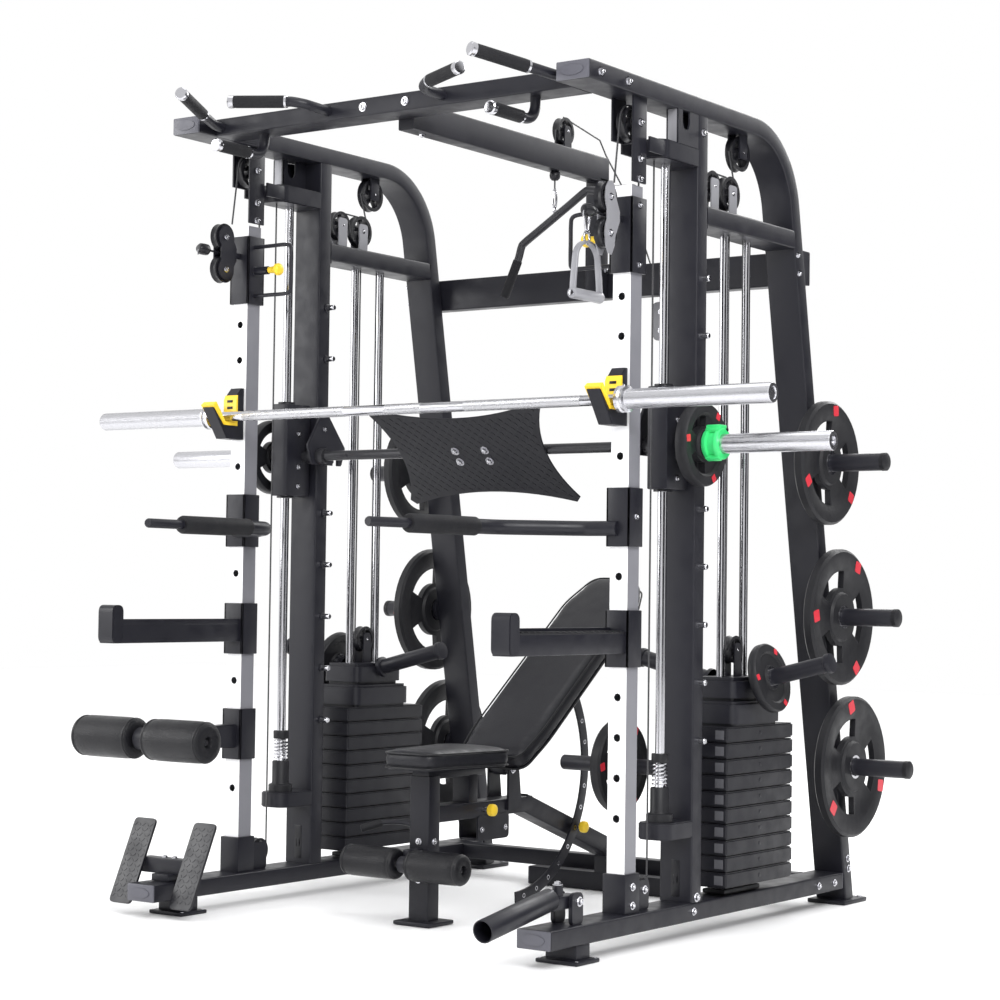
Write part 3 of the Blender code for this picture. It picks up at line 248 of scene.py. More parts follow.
class Kit:
    """Collects simple solids into one piece. Each solid takes the material chosen last."""

    def __init__(self, name, *materials):
        self.name = name
        self.materials = materials
        self.form = bmesh.new()
        self.index = 0

    def use(self, index):
        self.index = index
        return self

    def add(self, form):
        for face in form.faces:
            face.material_index = self.index
        mesh = bpy.data.meshes.new("part")
        form.to_mesh(mesh)
        form.free()
        self.form.from_mesh(mesh)
        bpy.data.meshes.remove(mesh)

    def box(self, low, high, bevel=0.003, turn=None):
        low = Vector(low)
        high = Vector(high)
        low, high = Vector(map(min, low, high)), Vector(map(max, low, high))
        form = bmesh.new()
        place = Matrix.Translation((low + high) / 2) @ Matrix.Diagonal((*(high - low), 1))
        bmesh.ops.create_cube(form, size=1, matrix=place)
        if bevel:
            bmesh.ops.bevel(form, geom=form.edges[:], offset=bevel, segments=2, profile=0.6, affect="EDGES")
        if turn is not None:
            bmesh.ops.transform(form, matrix=turn, verts=form.verts)
        self.add(form)
        return self

    def bar(self, start, end, radius, sides=24, tip=None, bevel=0.0):
        start, end = Vector(start), Vector(end)
        along = end - start
        turn = facing(along)
        form = bmesh.new()
        bmesh.ops.create_cone(
            form, cap_ends=True, segments=sides, radius1=radius, radius2=radius if tip is None else tip,
            depth=along.length, matrix=Matrix.Translation((start + end) / 2) @ turn,
        )
        if bevel:
            rims = [e for e in form.edges if any(len(f.verts) > 4 for f in e.link_faces)]
            bmesh.ops.bevel(form, geom=rims, offset=bevel, segments=2, affect="EDGES")
        self.add(form)
        return self

    def lathe(self, profile, centre, axis, steps=32, closed=False):
        """Turns (radius, distance) points about an axis through centre."""
        turn = facing(axis)
        form = bmesh.new()
        rings = []
        for radius, along in profile:
            if radius < 1e-6:
                rings.append([form.verts.new((0, 0, along))] * steps)
                continue
            rings.append(
                [
                    form.verts.new(
                        (
                            radius * math.cos(math.tau * i / steps),
                            radius * math.sin(math.tau * i / steps),
                            along,
                        )
                    )
                    for i in range(steps)
                ]
            )
        pairs = list(zip(rings, rings[1:])) + ([(rings[-1], rings[0])] if closed else [])
        for first, second in pairs:
            for i in range(steps):
                j = (i + 1) % steps
                corners = []
                for vert in (first[i], first[j], second[j], second[i]):
                    if vert not in corners:
                        corners.append(vert)
                if len(corners) > 2:
                    form.faces.new(corners)
        bmesh.ops.transform(form, matrix=Matrix.Translation(centre) @ turn, verts=form.verts)
        bmesh.ops.recalc_face_normals(form, faces=form.faces)
        self.add(form)
        return self

    def sweep(self, path, section, across=None):
        """Carries a closed section along a path. across fixes the section's first direction."""
        path = [Vector(p) for p in path]
        form = bmesh.new()
        rings = []
        side = Vector(across) if across is not None else None
        for i, point in enumerate(path):
            before, after = path[max(i - 1, 0)], path[min(i + 1, len(path) - 1)]
            along = (after - before).normalized()
            if side is None:
                side = along.orthogonal().normalized()
            if across is None:
                side = (side - along * side.dot(along)).normalized()
            up = along.cross(side).normalized()
            rings.append([form.verts.new(point + side * a + up * b) for a, b in section])
        count = len(section)
        for first, second in zip(rings, rings[1:]):
            for i in range(count):
                j = (i + 1) % count
                form.faces.new((first[i], first[j], second[j], second[i]))
        form.faces.new(rings[0])
        form.faces.new(rings[-1])
        bmesh.ops.recalc_face_normals(form, faces=form.faces)
        self.add(form)
        return self

    def pipe(self, points, radius, sides=14, smooth=True):
        path = smoothed(points) if smooth else points
        section = [
            (radius * math.cos(math.tau * i / sides), radius * math.sin(math.tau * i / sides))
            for i in range(sides)
        ]
        return self.sweep(path, section)

    def slab(self, outline, place, low, high, bevel=0.0015):
        """A flat shape: outline is (a, b) points, place turns and moves them, low and high are its faces."""
        form = bmesh.new()
        base = [form.verts.new((a, b, low)) for a, b in outline]
        top = [form.verts.new((a, b, high)) for a, b in outline]
        count = len(outline)
        form.faces.new(base)
        form.faces.new(top)
        for i in range(count):
            j = (i + 1) % count
            form.faces.new((base[i], base[j], top[j], top[i]))
        bmesh.ops.recalc_face_normals(form, faces=form.faces)
        if bevel:
            rims = [e for e in form.edges if abs(e.verts[0].co.z - e.verts[1].co.z) < 1e-6]
            bmesh.ops.bevel(form, geom=rims, offset=bevel, segments=2, affect="EDGES")
        bmesh.ops.transform(form, matrix=place, verts=form.verts)
        self.add(form)
        return self

    def side_slab(self, outline, x_low, x_high, bevel=0.0015):
        """outline holds (y, z) points."""
        x_low, x_high = sorted((x_low, x_high))
        return self.slab(outline, IN_SIDE_PLANE, x_low, x_high, bevel)

    def bolt(self, centre, axis, radius=0.0085):
        """A washer with a hex head and a domed end."""
        centre, axis = Vector(centre), Vector(axis).normalized()
        self.lathe([(0, 0), (radius * 1.35, 0), (radius * 1.35, 0.0015), (0, 0.0018)], centre, axis, 20)
        self.bar(centre + axis * 0.001, centre + axis * (radius * 0.8), radius, 6, radius * 0.9)
        self.lathe(
            [(0, radius * 0.78), (radius * 0.6, radius * 0.78), (radius * 0.45, radius * 1.0),
            (0, radius * 1.1)],
            centre, axis, 16,
        )
        return self

    def done(self, body, *replaced, slot=None, angle=38):
        mesh = bpy.data.meshes.new(self.name)
        bmesh.ops.translate(self.form, vec=SHIFT, verts=self.form.verts)
        self.form.to_mesh(mesh)
        self.form.free()
        for material in self.materials:
            mesh.materials.append(material)
        mesh.shade_smooth()
        mesh.set_sharp_from_angle(angle=math.radians(angle))
        made = placed(self.name, mesh)
        if body:
            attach(made, body)
        if replaced:
            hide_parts(*replaced)
        return made


IN_SIDE_PLANE = Matrix(((0, 0, 1, 0), (1, 0, 0, 0), (0, 1, 0, 0), (0, 0, 0, 1)))


def smoothed(points, steps=5):
    """A Catmull-Rom curve through the points."""
    points = [Vector(p) for p in points]
    path = []
    for i in range(len(points) - 1):
        p0, p1 = points[max(i - 1, 0)], points[i]
        p2, p3 = points[i + 1], points[min(i + 2, len(points) - 1)]
        for j in range(steps):
            t = j / steps
            path.append(
                0.5 * ((2 * p1) + (p2 - p0) * t + (2 * p0 - 5 * p1 + 4 * p2 - p3) * t**2
                       + (3 * p1 - p0 - 3 * p2 + p3) * t**3)
            )
    path.append(points[-1])
    return path


def rounded(corners, radius, steps=4):
    outline = []
    for i, corner in enumerate(corners):
        here = Vector(corner)
        before = (Vector(corners[i - 1]) - here).normalized()
        after = (Vector(corners[(i + 1) % len(corners)]) - here).normalized()
        for j in range(steps + 1):
            t = j / steps
            start, end = here + before * radius, here + after * radius
            outline.append(tuple(start * (1 - t) ** 2 + here * 2 * t * (1 - t) + end * t**2))
    return outline


def panel(a_low, b_low, a_high, b_high, radius, steps=4):
    """A rounded rectangle between two corners."""
    return rounded([(a_low, b_low), (a_high, b_low), (a_high, b_high), (a_low, b_high)], radius, steps)


def arc(a, b, radius, start, step, count):
    """Points on a circle round (a, b). start and step are in degrees."""
    angles = [math.radians(start + step * i) for i in range(count)]
    return [(a + radius * math.cos(angle), b + radius * math.sin(angle)) for angle in angles]


def rounded_rectangle(half_a, half_b, radius):
    corners = [(half_a, half_b), (-half_a, half_b), (-half_a, -half_b), (half_a, -half_b)]
    return rounded(corners, radius, 3)


def post_y(z):
    return 1.0 + (1.0 - z) * LEAN


def arch_line():
    down = Vector((LEAN, -1)).normalized()
    corner = Vector((post_y(TOP_Z), TOP_Z))
    turn = math.pi / 2 - math.atan(LEAN)
    reach = BEND * math.tan(turn / 2)
    centre = Vector((corner.x - reach, TOP_Z - BEND))
    line = [Vector((-0.236, TOP_Z))]
    for i in range(25):
        angle = math.pi / 2 - turn * i / 24
        line.append(centre + BEND * Vector((math.cos(angle), math.sin(angle))))
    line.append(corner + down * ((TOP_Z - 0.012) / -down.y))
    return line


def pulley(kit, centre, radius, half_width, body, hub):
    """A grooved wheel on an axle along X with five openings, and its axle bolt."""
    centre = Vector(centre)
    w, r = half_width, radius
    kit.use(body).lathe(
        [(r * 0.78, -w), (r, -w), (r * 0.90, -w * 0.2), (r * 0.90, w * 0.2), (r, w), (r * 0.78, w)],
        centre, (1, 0, 0), 40, closed=True,
    )
    kit.lathe([(0, -w), (r * 0.38, -w), (r * 0.38, w), (0, w)], centre, (1, 0, 0), 24)
    for i in range(5):
        spoke = Matrix.Translation(centre) @ Matrix.Rotation(math.tau * i / 5, 4, "X")
        kit.box((-w * 0.5, -r * 0.13, r * 0.3), (w * 0.5, r * 0.13, r * 0.82), 0.001, spoke)
    for way in (-1, 1):
        kit.use(hub).bolt(centre + Vector((way * w, 0, 0)), (way, 0, 0), r * 0.16 + 0.001)


def end_cap(kit, low, high, way):
    """A plastic tube cap with a raised oval, on the end of a beam that runs along Y."""
    kit.box(low, high, 0.004)
    middle = (Vector(low) + Vector(high)) / 2
    y = (min if way < 0 else max)(low[1], high[1])
    oval = [(0.034 * math.cos(math.tau * i / 28), 0.014 * math.sin(math.tau * i / 28)) for i in range(28)]
    place = Matrix.Translation((middle.x, y, middle.z)) @ Matrix.Rotation(math.pi / 2, 4, "X")
    kit.slab(oval, place, -0.0012 if way > 0 else -0.001, 0.0022, 0.001)


# ---------------------------------------------------------------- the frame

def base_beam(side):
    x, out = side * SIDE_X, side
    end = ENDS[side]
    kit = Kit("base_beam_look_" + end, STEEL, CAP, CHROME, PLASTIC)
    section = rounded_rectangle(HALF, 0.0235, 0.005)
    kit.sweep([(x, -0.352, 0.0685), (x, 1.134, 0.0685)], section, (1, 0, 0))
    kit.use(1)
    end_cap(kit, (x - 0.0475, -0.358, 0.0455), (x + 0.0475, -0.350, 0.0915), -1)
    end_cap(kit, (x - 0.0475, 1.132, 0.0455), (x + 0.0475, 1.140, 0.0915), 1)
    kit.use(0).box((x - 0.045, -0.240, 0.006), (x + 0.045, -0.180, 0.047), 0.004)
    kit.box((x - 0.060, -0.260, 0.0), (x + 0.060, -0.160, 0.010), 0.003)
    kit.box((x - 0.0335, -0.0080, 0.090), (x + 0.0335, 0.0600, 0.190), 0.003)
    wheel_y, wheel_z = 0.1105, 0.142
    for low in (0.0125, -0.0165):
        kit.side_slab(
            panel(0.050, 0.091, wheel_y + 0.022, wheel_z + 0.026, 0.012), x + low, x + low + 0.004)
    pulley(kit, (x, wheel_y, wheel_z), 0.036, 0.009, 3, 2)
    kit.use(2)
    for y, z in ((0.026, 0.158), (0.026, 0.112), (0.990, 0.068), (1.085, 0.068), (0.300, 0.070)):
        reach = 0.0335 if y < 0.1 else HALF
        kit.bolt((x + out * reach, y, z), (out, 0, 0), 0.0075)
    kit.bolt((x + out * 0.0165, wheel_y, wheel_z), (out, 0, 0), 0.008)
    for dx, dy in ((-0.052, -0.250), (0.052, -0.250), (-0.052, -0.170), (0.052, -0.170)):
        kit.bar((x + dx, dy, 0.009), (x + dx, dy, 0.0112), 0.005, 12)
    if side > 0:
        kit.use(0)
        for low in (-0.031, 0.020):
            ear = panel(-0.240, 0.090, -0.190, 0.168, 0.016)
            kit.side_slab(ear, x + low, x + low + 0.011)
        kit.use(2).bolt((x + 0.031, -0.208, 0.146), (1, 0, 0), 0.009)
        kit.bolt((x - 0.031, -0.208, 0.146), (-1, 0, 0), 0.009)
    kit.done("frame", "base_beam_" + end, slot="black_steel")


def side_frame(side):
    x, out, end = side * SIDE_X, side, ENDS[side]
    kit = Kit("side_frame_look_" + end, STEEL, CAP, CHROME, PLASTIC, GREY, RUBBER)
    line = arch_line()
    line[0] = line[0] + Vector((0.006, 0))
    kit.sweep([(x, p.x, p.y) for p in line], rounded_rectangle(HALF, 0.0237, 0.005), (1, 0, 0))
    kit.use(1)
    end_cap(kit, (x - 0.0475, -0.236, 2.1283), (x + 0.0475, -0.228, 2.1747), -1)
    kit.use(0)
    kit.sweep([(x, 0.3384, 1.8725), (x, 0.822, 1.8725)], rounded_rectangle(HALF, 0.0255, 0.005), (1, 0, 0))
    kit.box((x - 0.046, 0.3384, 1.838), (x + 0.046, 0.344, 1.906), 0.002)
    for low, foot in ((0.0275, 1.912), (-0.0340, 2.018)):
        kit.box((x + low, -0.006, foot), (x + low + 0.0065, 0.056, 2.129), 0.0015)
    kit.box((x - 0.028, 0.046, 2.018), (x + 0.028, 0.052, 2.040), 0.001)
    pulley(kit, (x, 0.0275, 2.064), 0.0455, 0.011, 3, 2)
    kit.use(2)
    for z in (1.922, 1.972, 2.064):
        for way in (-1, 1) if z > 2.0 else (1,):
            kit.bolt((x + way * 0.034, 0.026, z), (way, 0, 0), 0.0085)
    for y in (-0.180, -0.055):
        kit.bolt((x + out * HALF, y, 2.151), (out, 0, 0), 0.0095)
    # Pulleys under the top beam and over the mid beam
    kit.use(0).box((x - 0.020, 0.556, 2.060), (x - 0.014, 0.596, 2.130), 0.001)
    kit.box((x + 0.014, 0.556, 2.060), (x + 0.020, 0.596, 2.130), 0.001)
    pulley(kit, (x, 0.576, 2.077), 0.049, 0.011, 3, 2)
    for y, z, r in ((0.526, 1.960, 0.047), (0.429, 1.966, 0.042)):
        tab = rounded([(y - 0.020, 1.894), (y + 0.020, 1.894), (y + 0.022, z + 0.022),
            (y - 0.022, z + 0.022)], 0.012)
        kit.use(4)
        kit.side_slab(tab, x + 0.0135, x + 0.0175)
        kit.side_slab(tab, x - 0.0175, x - 0.0135)
        pulley(kit, (x, y, z), r, 0.011, 3, 2)
    # Storage horns
    for z in (1.256, 0.824, 0.398):
        y = post_y(z)
        kit.use(0).lathe(
            [(0, -0.001), (0.036, -0.001), (0.036, 0.010), (0.034, 0.0125), (0.0245, 0.0125),
            (0.0245, 0.205),
             (0.023, 0.208), (0, 0.208)],
            (side * 0.684, y, z), (out, 0, 0), 32,
        )
        kit.use(5).lathe(
            [(0.0252, 0), (0.0252, 0.012), (0.022, 0.0145), (0, 0.015)], (side * 0.890, y, z), (out, 0, 0),
            32
        )
    foot_y = post_y(0.012)
    kit.use(0).box((x - 0.060, foot_y - 0.055, 0.0), (x + 0.060, foot_y + 0.085, 0.012), 0.003)
    kit.use(2)
    for dx in (-0.045, 0.045):
        kit.bar((x + dx, foot_y + 0.068, 0.011), (x + dx, foot_y + 0.068, 0.016), 0.008, 6)
    for z in (0.071, 0.100):
        kit.bolt((x + out * HALF, post_y(z), z + 0.03), (out, 0, 0), 0.008)
    for z in (1.780, 1.830):
        kit.bolt((x + out * HALF, post_y(z) - 0.012, z), (out, 0, 0), 0.0075)
    kit.done("frame", "side_frame_" + end, slot="black_steel")


def main_upright(side):
    x, out, end = side * SIDE_X, side, ENDS[side]
    kit = Kit("main_upright_look_" + end, STEEL, CHROME, PLASTIC, RUBBER, GREY)
    kit.sweep([(x, 0.3128, 0.0924), (x, 0.3128, 2.1274)], rounded_rectangle(HALF, 0.0252, 0.005), (1, 0, 0))
    for y_front, z_low, z_high in ((0.158, 0.260, 0.303), (0.112, 1.990, 2.040)):
        outline = []
        radius = 0.034
        for centre_x, start in ((x - HALF + radius, 180), (x + HALF - radius, 270)):
            outline += arc(centre_x, y_front + radius, radius, start, 11.25, 9)
        outline += [(x + HALF, 0.290), (x - HALF, 0.290)]
        kit.slab(outline, Matrix.Identity(4), z_low, z_high, 0.003)
    # The hollow block between the top bracket and the top beam
    for reach in (HALF, HALF - 0.031):
        plate = [(0.185, 2.038), (0.2885, 2.038), (0.2885, 2.1275), (0.242, 2.1275), (0.242, 2.095),
            (0.236, 2.082),
                 (0.225, 2.078), (0.214, 2.082), (0.208, 2.095), (0.208, 2.1275), (0.185, 2.1275)]
        kit.side_slab(plate, x + out * reach, x + out * (reach - 0.005), 0.0006)
    kit.use(4).box((x + out * (HALF - 0.036), 0.1855, 2.038), (x + out * (HALF - 0.002), 0.1905, 2.1275),
        0.001)
    kit.use(0)
    # Plates that tie the top bracket to the pulley head
    for dx in (-0.044, 0.038):
        kit.box((x + dx, 0.056, 1.996), (x + dx + 0.006, 0.150, 2.034), 0.001)
    inside, outside = side * (SIDE_X - HALF), side * (SIDE_X + HALF)
    for i in range(9):
        z = 0.505 + 0.15 * i
        kit.use(1).lathe(
            [(0, 0.0295), (0.006, 0.0295), (0.008, 0.027), (0.008, -0.002)], (inside, PEG_Y, z),
            (-out, 0, 0), 20
        )
        kit.lathe([(0, 0.0175), (0.006, 0.0175), (0.008, 0.015), (0.008, -0.002)], (outside, PEG_Y, z),
            (out, 0, 0), 20)
        kit.use(0).lathe([(0.012, -0.001), (0.012, 0.002), (0.008, 0.003)], (inside, PEG_Y, z),
            (-out, 0, 0), 20)
    kit.use(2).box((x - 0.013, 0.2868, 0.105), (x + 0.013, 0.290, 0.200), 0.002)
    kit.lathe([(0, -0.006), (0.034, -0.006), (0.030, 0), (0.034, 0.006), (0, 0.006)], (x, 0.318, 0.150),
        (1, 0, 0), 32)
    kit.use(1)
    for z in (0.105, 2.085):
        kit.bolt((outside, 0.313, z), (out, 0, 0), 0.009)
    if side > 0:
        kit.use(0).lathe(
            [(0.034, -0.001), (0.034, 0.008), (0.020, 0.010), (0.020, 0.316), (0.0185, 0.318), (0, 0.318)],
            (0.588, 0.3125, 0.430), (-1, 0, 0), 28,
        )
    kit.done("frame", "main_upright_" + end, slot="black_steel")


def guide_rod(side):
    x, end = side * SIDE_X, ENDS[side]
    kit = Kit("guide_rod_look_" + end, ROD, RUBBER, CHROME)
    kit.lathe([(0, 0.3034), (0.0125, 0.3034), (0.0125, 1.9896), (0, 1.9896)], (x, ROD_Y, 0), (0, 0, 1), 32)
    kit.use(1).lathe(
        [(0.0126, 0.3034), (0.034, 0.3034), (0.034, 0.322), (0.031, 0.325), (0.0255, 0.326), (0.024, 0.330),
         (0.024, 0.388), (0.022, 0.391), (0.0126, 0.391)], (x, ROD_Y, 0), (0, 0, 1), 36)
    kit.lathe([(0.0126, 0.454), (0.021, 0.454), (0.022, 0.457), (0.022, 0.474), (0.021, 0.477),
        (0.0126, 0.477)],
              (x, ROD_Y, 0), (0, 0, 1), 32)
    coil = []
    for i in range(6 * 16 + 1):
        angle = math.tau * i / 16
        coil.append((x + 0.0185 * math.cos(angle), ROD_Y + 0.0185 * math.sin(angle),
            0.3935 + 0.0585 * i / 96))
    kit.use(2).pipe(coil, 0.0026, 8, smooth=False)
    kit.done("frame", "guide_rod_" + end, slot="chrome")


def stacks(side):
    x, end = side * SIDE_X, ENDS[side]
    guide = Kit("stack_guide_look_" + end, ROD, RUBBER)
    for y in (0.510, 0.630):
        guide.use(0).bar((x, y, 0.093), (x, y, 1.8464), 0.0115, 28)
        guide.use(1).lathe(
            [(0.0116, 0.0926), (0.020, 0.0926), (0.020, 0.104), (0.018, 0.106), (0.0116, 0.106)], (x, y, 0),
            (0, 0, 1), 28)
    guide.box((x - 0.034, 0.482, 0.0926), (x + 0.034, 0.674, 0.1055), 0.004)
    guide.done("frame", "stack_guide_" + end, slot="chrome")
    lower = Kit("lower_stack_look_" + end, IRON, LABEL, CHROME)
    for i in range(9):
        stack_plate(lower, side, i)
    lower.done("frame", "lower_stack_" + end, slot="stack_iron")
    head = Kit("stack_head_look_" + end, IRON, LABEL, CHROME, PLASTIC, RUBBER, STEEL)
    stack_plate(head, side, 9)
    head.use(5)
    outline = panel(x - 0.080, 0.450, x + 0.080, 0.700, 0.022)
    head.slab(outline, Matrix.Identity(4), 0.536, 0.602, 0.008)
    outline = panel(x - 0.066, 0.470, x + 0.066, 0.680, 0.020)
    head.slab(outline, Matrix.Identity(4), 0.601, 0.665, 0.010)
    for way in (-1, 1):
        plate = rounded([(0.553, 0.655), (0.593, 0.655), (0.591, 0.755), (0.555, 0.755)], 0.014)
        head.side_slab(plate, x + way * 0.0175, x + way * 0.0135)
    pulley(head, (x, STACK_WHEEL_Y, STACK_WHEEL_Z), 0.038, 0.011, 3, 2)
    centre = Vector((x, 0.580, 0.636))
    for way in (-1, 1):
        along = Vector((way, 0, 0.249)).normalized()
        head.use(5).lathe(
            [(0.030, 0.070), (0.030, 0.080), (0.022, 0.082), (0.022, 0.286), (0.0255, 0.288),
            (0.027, 0.294),
             (0.025, 0.303), (0, 0.305)], centre, along, 32)
    along = Vector((side, 0, 0.249)).normalized()
    grip_plate(head, centre + along * 0.112, along, 0.0925, 0.025, 0.0225, (4, 2))
    head.done("stack_head_" + end, "stack_head_" + end, slot="stack_iron")
    decals("stack_head_inlay_" + end, centre + along * 0.1247, along, 0.0925, "stack_head_" + end)


def stack_plate(kit, side, number):
    x = side * SIDE_X
    low = 0.118 + number * 0.042 + 0.0012
    high = low + 0.0396
    outline = panel(x - 0.080, 0.410, x + 0.080, 0.770, 0.006)
    kit.use(0).slab(outline, Matrix.Identity(4), low, high, 0.004)
    middle = (low + high) / 2
    kit.use(1).box((x + side * 0.044, 0.4092, middle - 0.012), (x + side * 0.070, 0.412, middle + 0.012),
        0.0006)
    kit.use(0).box((x + side * 0.078, 0.582, middle - 0.004), (x + side * 0.0806, 0.594, middle + 0.006),
        0.0005)


def grip_plate(kit, centre, axis, radius, thick, bore, slots):
    """A rubber plate: thick rim, thin web with a raised hub, and a chrome ring round the bore."""
    r, half = radius, thick / 2
    rubber, chrome = slots
    profile = [
        (bore + 0.002, -half), (r * 0.34, -half), (r * 0.37, -half * 0.55), (r * 0.70, -half * 0.55),
        (r * 0.76, -half), (r * 0.96, -half), (r, -half * 0.6), (r, half * 0.6), (r * 0.96, half),
        (r * 0.76, half), (r * 0.70, half * 0.55), (r * 0.37, half * 0.55), (r * 0.34, half),
        (bore + 0.002, half),
    ]
    kit.use(rubber).lathe(profile, centre, axis, 48, closed=True)
    kit.use(chrome).lathe(
        [(bore, -half - 0.0006), (bore + 0.007, -half - 0.0006), (bore + 0.007, half + 0.0006),
        (bore, half + 0.0006)],
        centre, axis, 36, closed=True,
    )


def decals(name, centre, axis, radius, body, turn=0.5):
    """Three plain red inlays on the rim."""
    kit = Kit(name, RED)
    axis = Vector(axis).normalized()
    spin = facing(axis)
    size = radius * 0.085
    square = panel(-size, -size, size, size, size * 0.35)
    for i in range(3):
        place = (
            Matrix.Translation(centre) @ spin @ Matrix.Rotation(math.tau * i / 3 + turn, 4, "Z")
            @ Matrix.Translation((radius * 0.86, 0, 0)) @ Matrix.Rotation(0.25, 4, "Z")
        )
        kit.slab(square, place, -0.0006, 0.0007, 0.0002)
    kit.done(body, slot="rubber")


def windows(made, centre, axis, radius, thick):
    """Cuts three curved hand grips through a plate's web."""
    spin = facing(axis)
    for i in range(3):
        outline = arc(0, 0, radius * 0.68, -34, 8.5, 9) + arc(0, 0, radius * 0.43, 34, -8.5, 9)
        cutter = Kit("grip_cutter", RUBBER)
        place = Matrix.Translation(centre) @ spin @ Matrix.Rotation(math.tau * i / 3 + 1.55, 4, "Z")
        cutter.slab(outline, place, -thick, thick, 0)
        mesh = bpy.data.meshes.new("grip_cutter")
        bmesh.ops.translate(cutter.form, vec=SHIFT, verts=cutter.form.verts)
        cutter.form.to_mesh(mesh)
        cutter.form.free()
        tool = placed("grip_cutter", mesh)
        step = made.modifiers.new("grip", "BOOLEAN")
        step.operation = "DIFFERENCE"
        step.solver = "EXACT"
        step.object = tool
        bpy.context.view_layer.update()
        result = bpy.data.meshes.new_from_object(made.evaluated_get(bpy.context.evaluated_depsgraph_get()))
        made.modifiers.clear()
        made.data = result
        bpy.data.objects.remove(tool, do_unlink=True)


def weight_plate(name, node, body, side, y, z, radius, inner, outer, bore, turn):
    centre = Vector((side * (inner + outer) / 2, y, z))
    axis = (side, 0, 0)
    kit = Kit(name, RUBBER, CHROME)
    thick = outer - inner
    grip_plate(kit, centre, axis, radius, thick, bore, (0, 1))
    made = kit.done(body, node, slot="rubber")
    windows(made, centre, axis, radius, thick)
    made.data.shade_smooth()
    made.data.set_sharp_from_angle(angle=math.radians(35))
    decals(name + "_inlay", centre + Vector((side * thick / 2, 0, 0)), axis, radius, body, turn)


def crossbars():
    kit = Kit("rear_crossbar_look", STEEL, CHROME)
    kit.sweep([(-0.670, 0.9098, 1.8045), (0.670, 0.9098, 1.8045)], rounded_rectangle(0.0240, 0.0475, 0.005),
        (0, 1, 0))
    for side in (-1, 1):
        for z in (1.78, 1.83):
            kit.use(1).bolt((side * 0.655, 0.9338, z), (0, 1, 0), 0.008)
    kit.done("frame", "rear_crossbar", slot="black_steel")
    kit = Kit("lower_crossbar_look", STEEL, CHROME)
    kit.sweep([(-0.5876, 1.054, 0.0685), (0.5876, 1.054, 0.0685)], rounded_rectangle(0.024, 0.0235, 0.005),
        (0, 1, 0))
    kit.done("frame", "lower_crossbar", slot="black_steel")
    kit = Kit("center_beam_look", STEEL, CHROME, PLASTIC, GREY, CAP)
    kit.sweep([(0, -0.0696, 2.1375), (0, 0.884, 2.1375)], rounded_rectangle(0.025, 0.0375, 0.005),
        (1, 0, 0))
    kit.sweep([(0, 0.860, 1.757), (0, 0.860, 2.110)], rounded_rectangle(0.025, 0.0253, 0.004), (1, 0, 0))
    for way in (-1, 1):
        tab = rounded([(0.655, 2.160), (0.695, 2.160), (0.693, 2.238), (0.657, 2.238)], 0.014)
        kit.side_slab(tab, way * 0.0175, way * 0.0135)
    pulley(kit, (0, 0.675, 2.222), 0.041, 0.011, 2, 1)
    kit.use(2).lathe(
        [(0, -0.016), (0.009, -0.0145), (0.0145, -0.008), (0.016, 0), (0.0145, 0.008), (0.009, 0.0145),
        (0, 0.016)],
        (0, 0.634, 2.088), (0, 0, 1), 28)
    kit.use(1)
    for y in (0.835, 0.872):
        kit.bolt((0.025, y, 1.84), (1, 0, 0), 0.008)
    kit.bolt((0, 0.0, 2.10), (0, 0, -1), 0.008)
    kit.done("frame", "center_beam", slot="black_steel")
    # The floating pulley plate behind the rear crossbar
    kit = Kit("floating_pulley", GREY, CHROME, PLASTIC)
    for y in (0.945, 0.972):
        outline = rounded([(0.145, 1.630), (0.200, 1.630), (0.205, 1.745), (0.140, 1.745)], 0.022)
        place = Matrix(((1, 0, 0, 0), (0, 0, -1, 0), (0, 1, 0, 0), (0, 0, 0, 1)))
        kit.use(0).slab(outline, place, -y - 0.003, -y)
    for z in (1.660, 1.715):
        kit.use(2).lathe([(0, -0.011), (0.026, -0.011), (0.022, 0), (0.026, 0.011), (0, 0.011)],
            (0.172, 0.9585, z), (0, 1, 0), 32)
        kit.use(1).bolt((0.172, 0.945, z), (0, -1, 0), 0.006)
    kit.done("frame", slot="grey_steel")


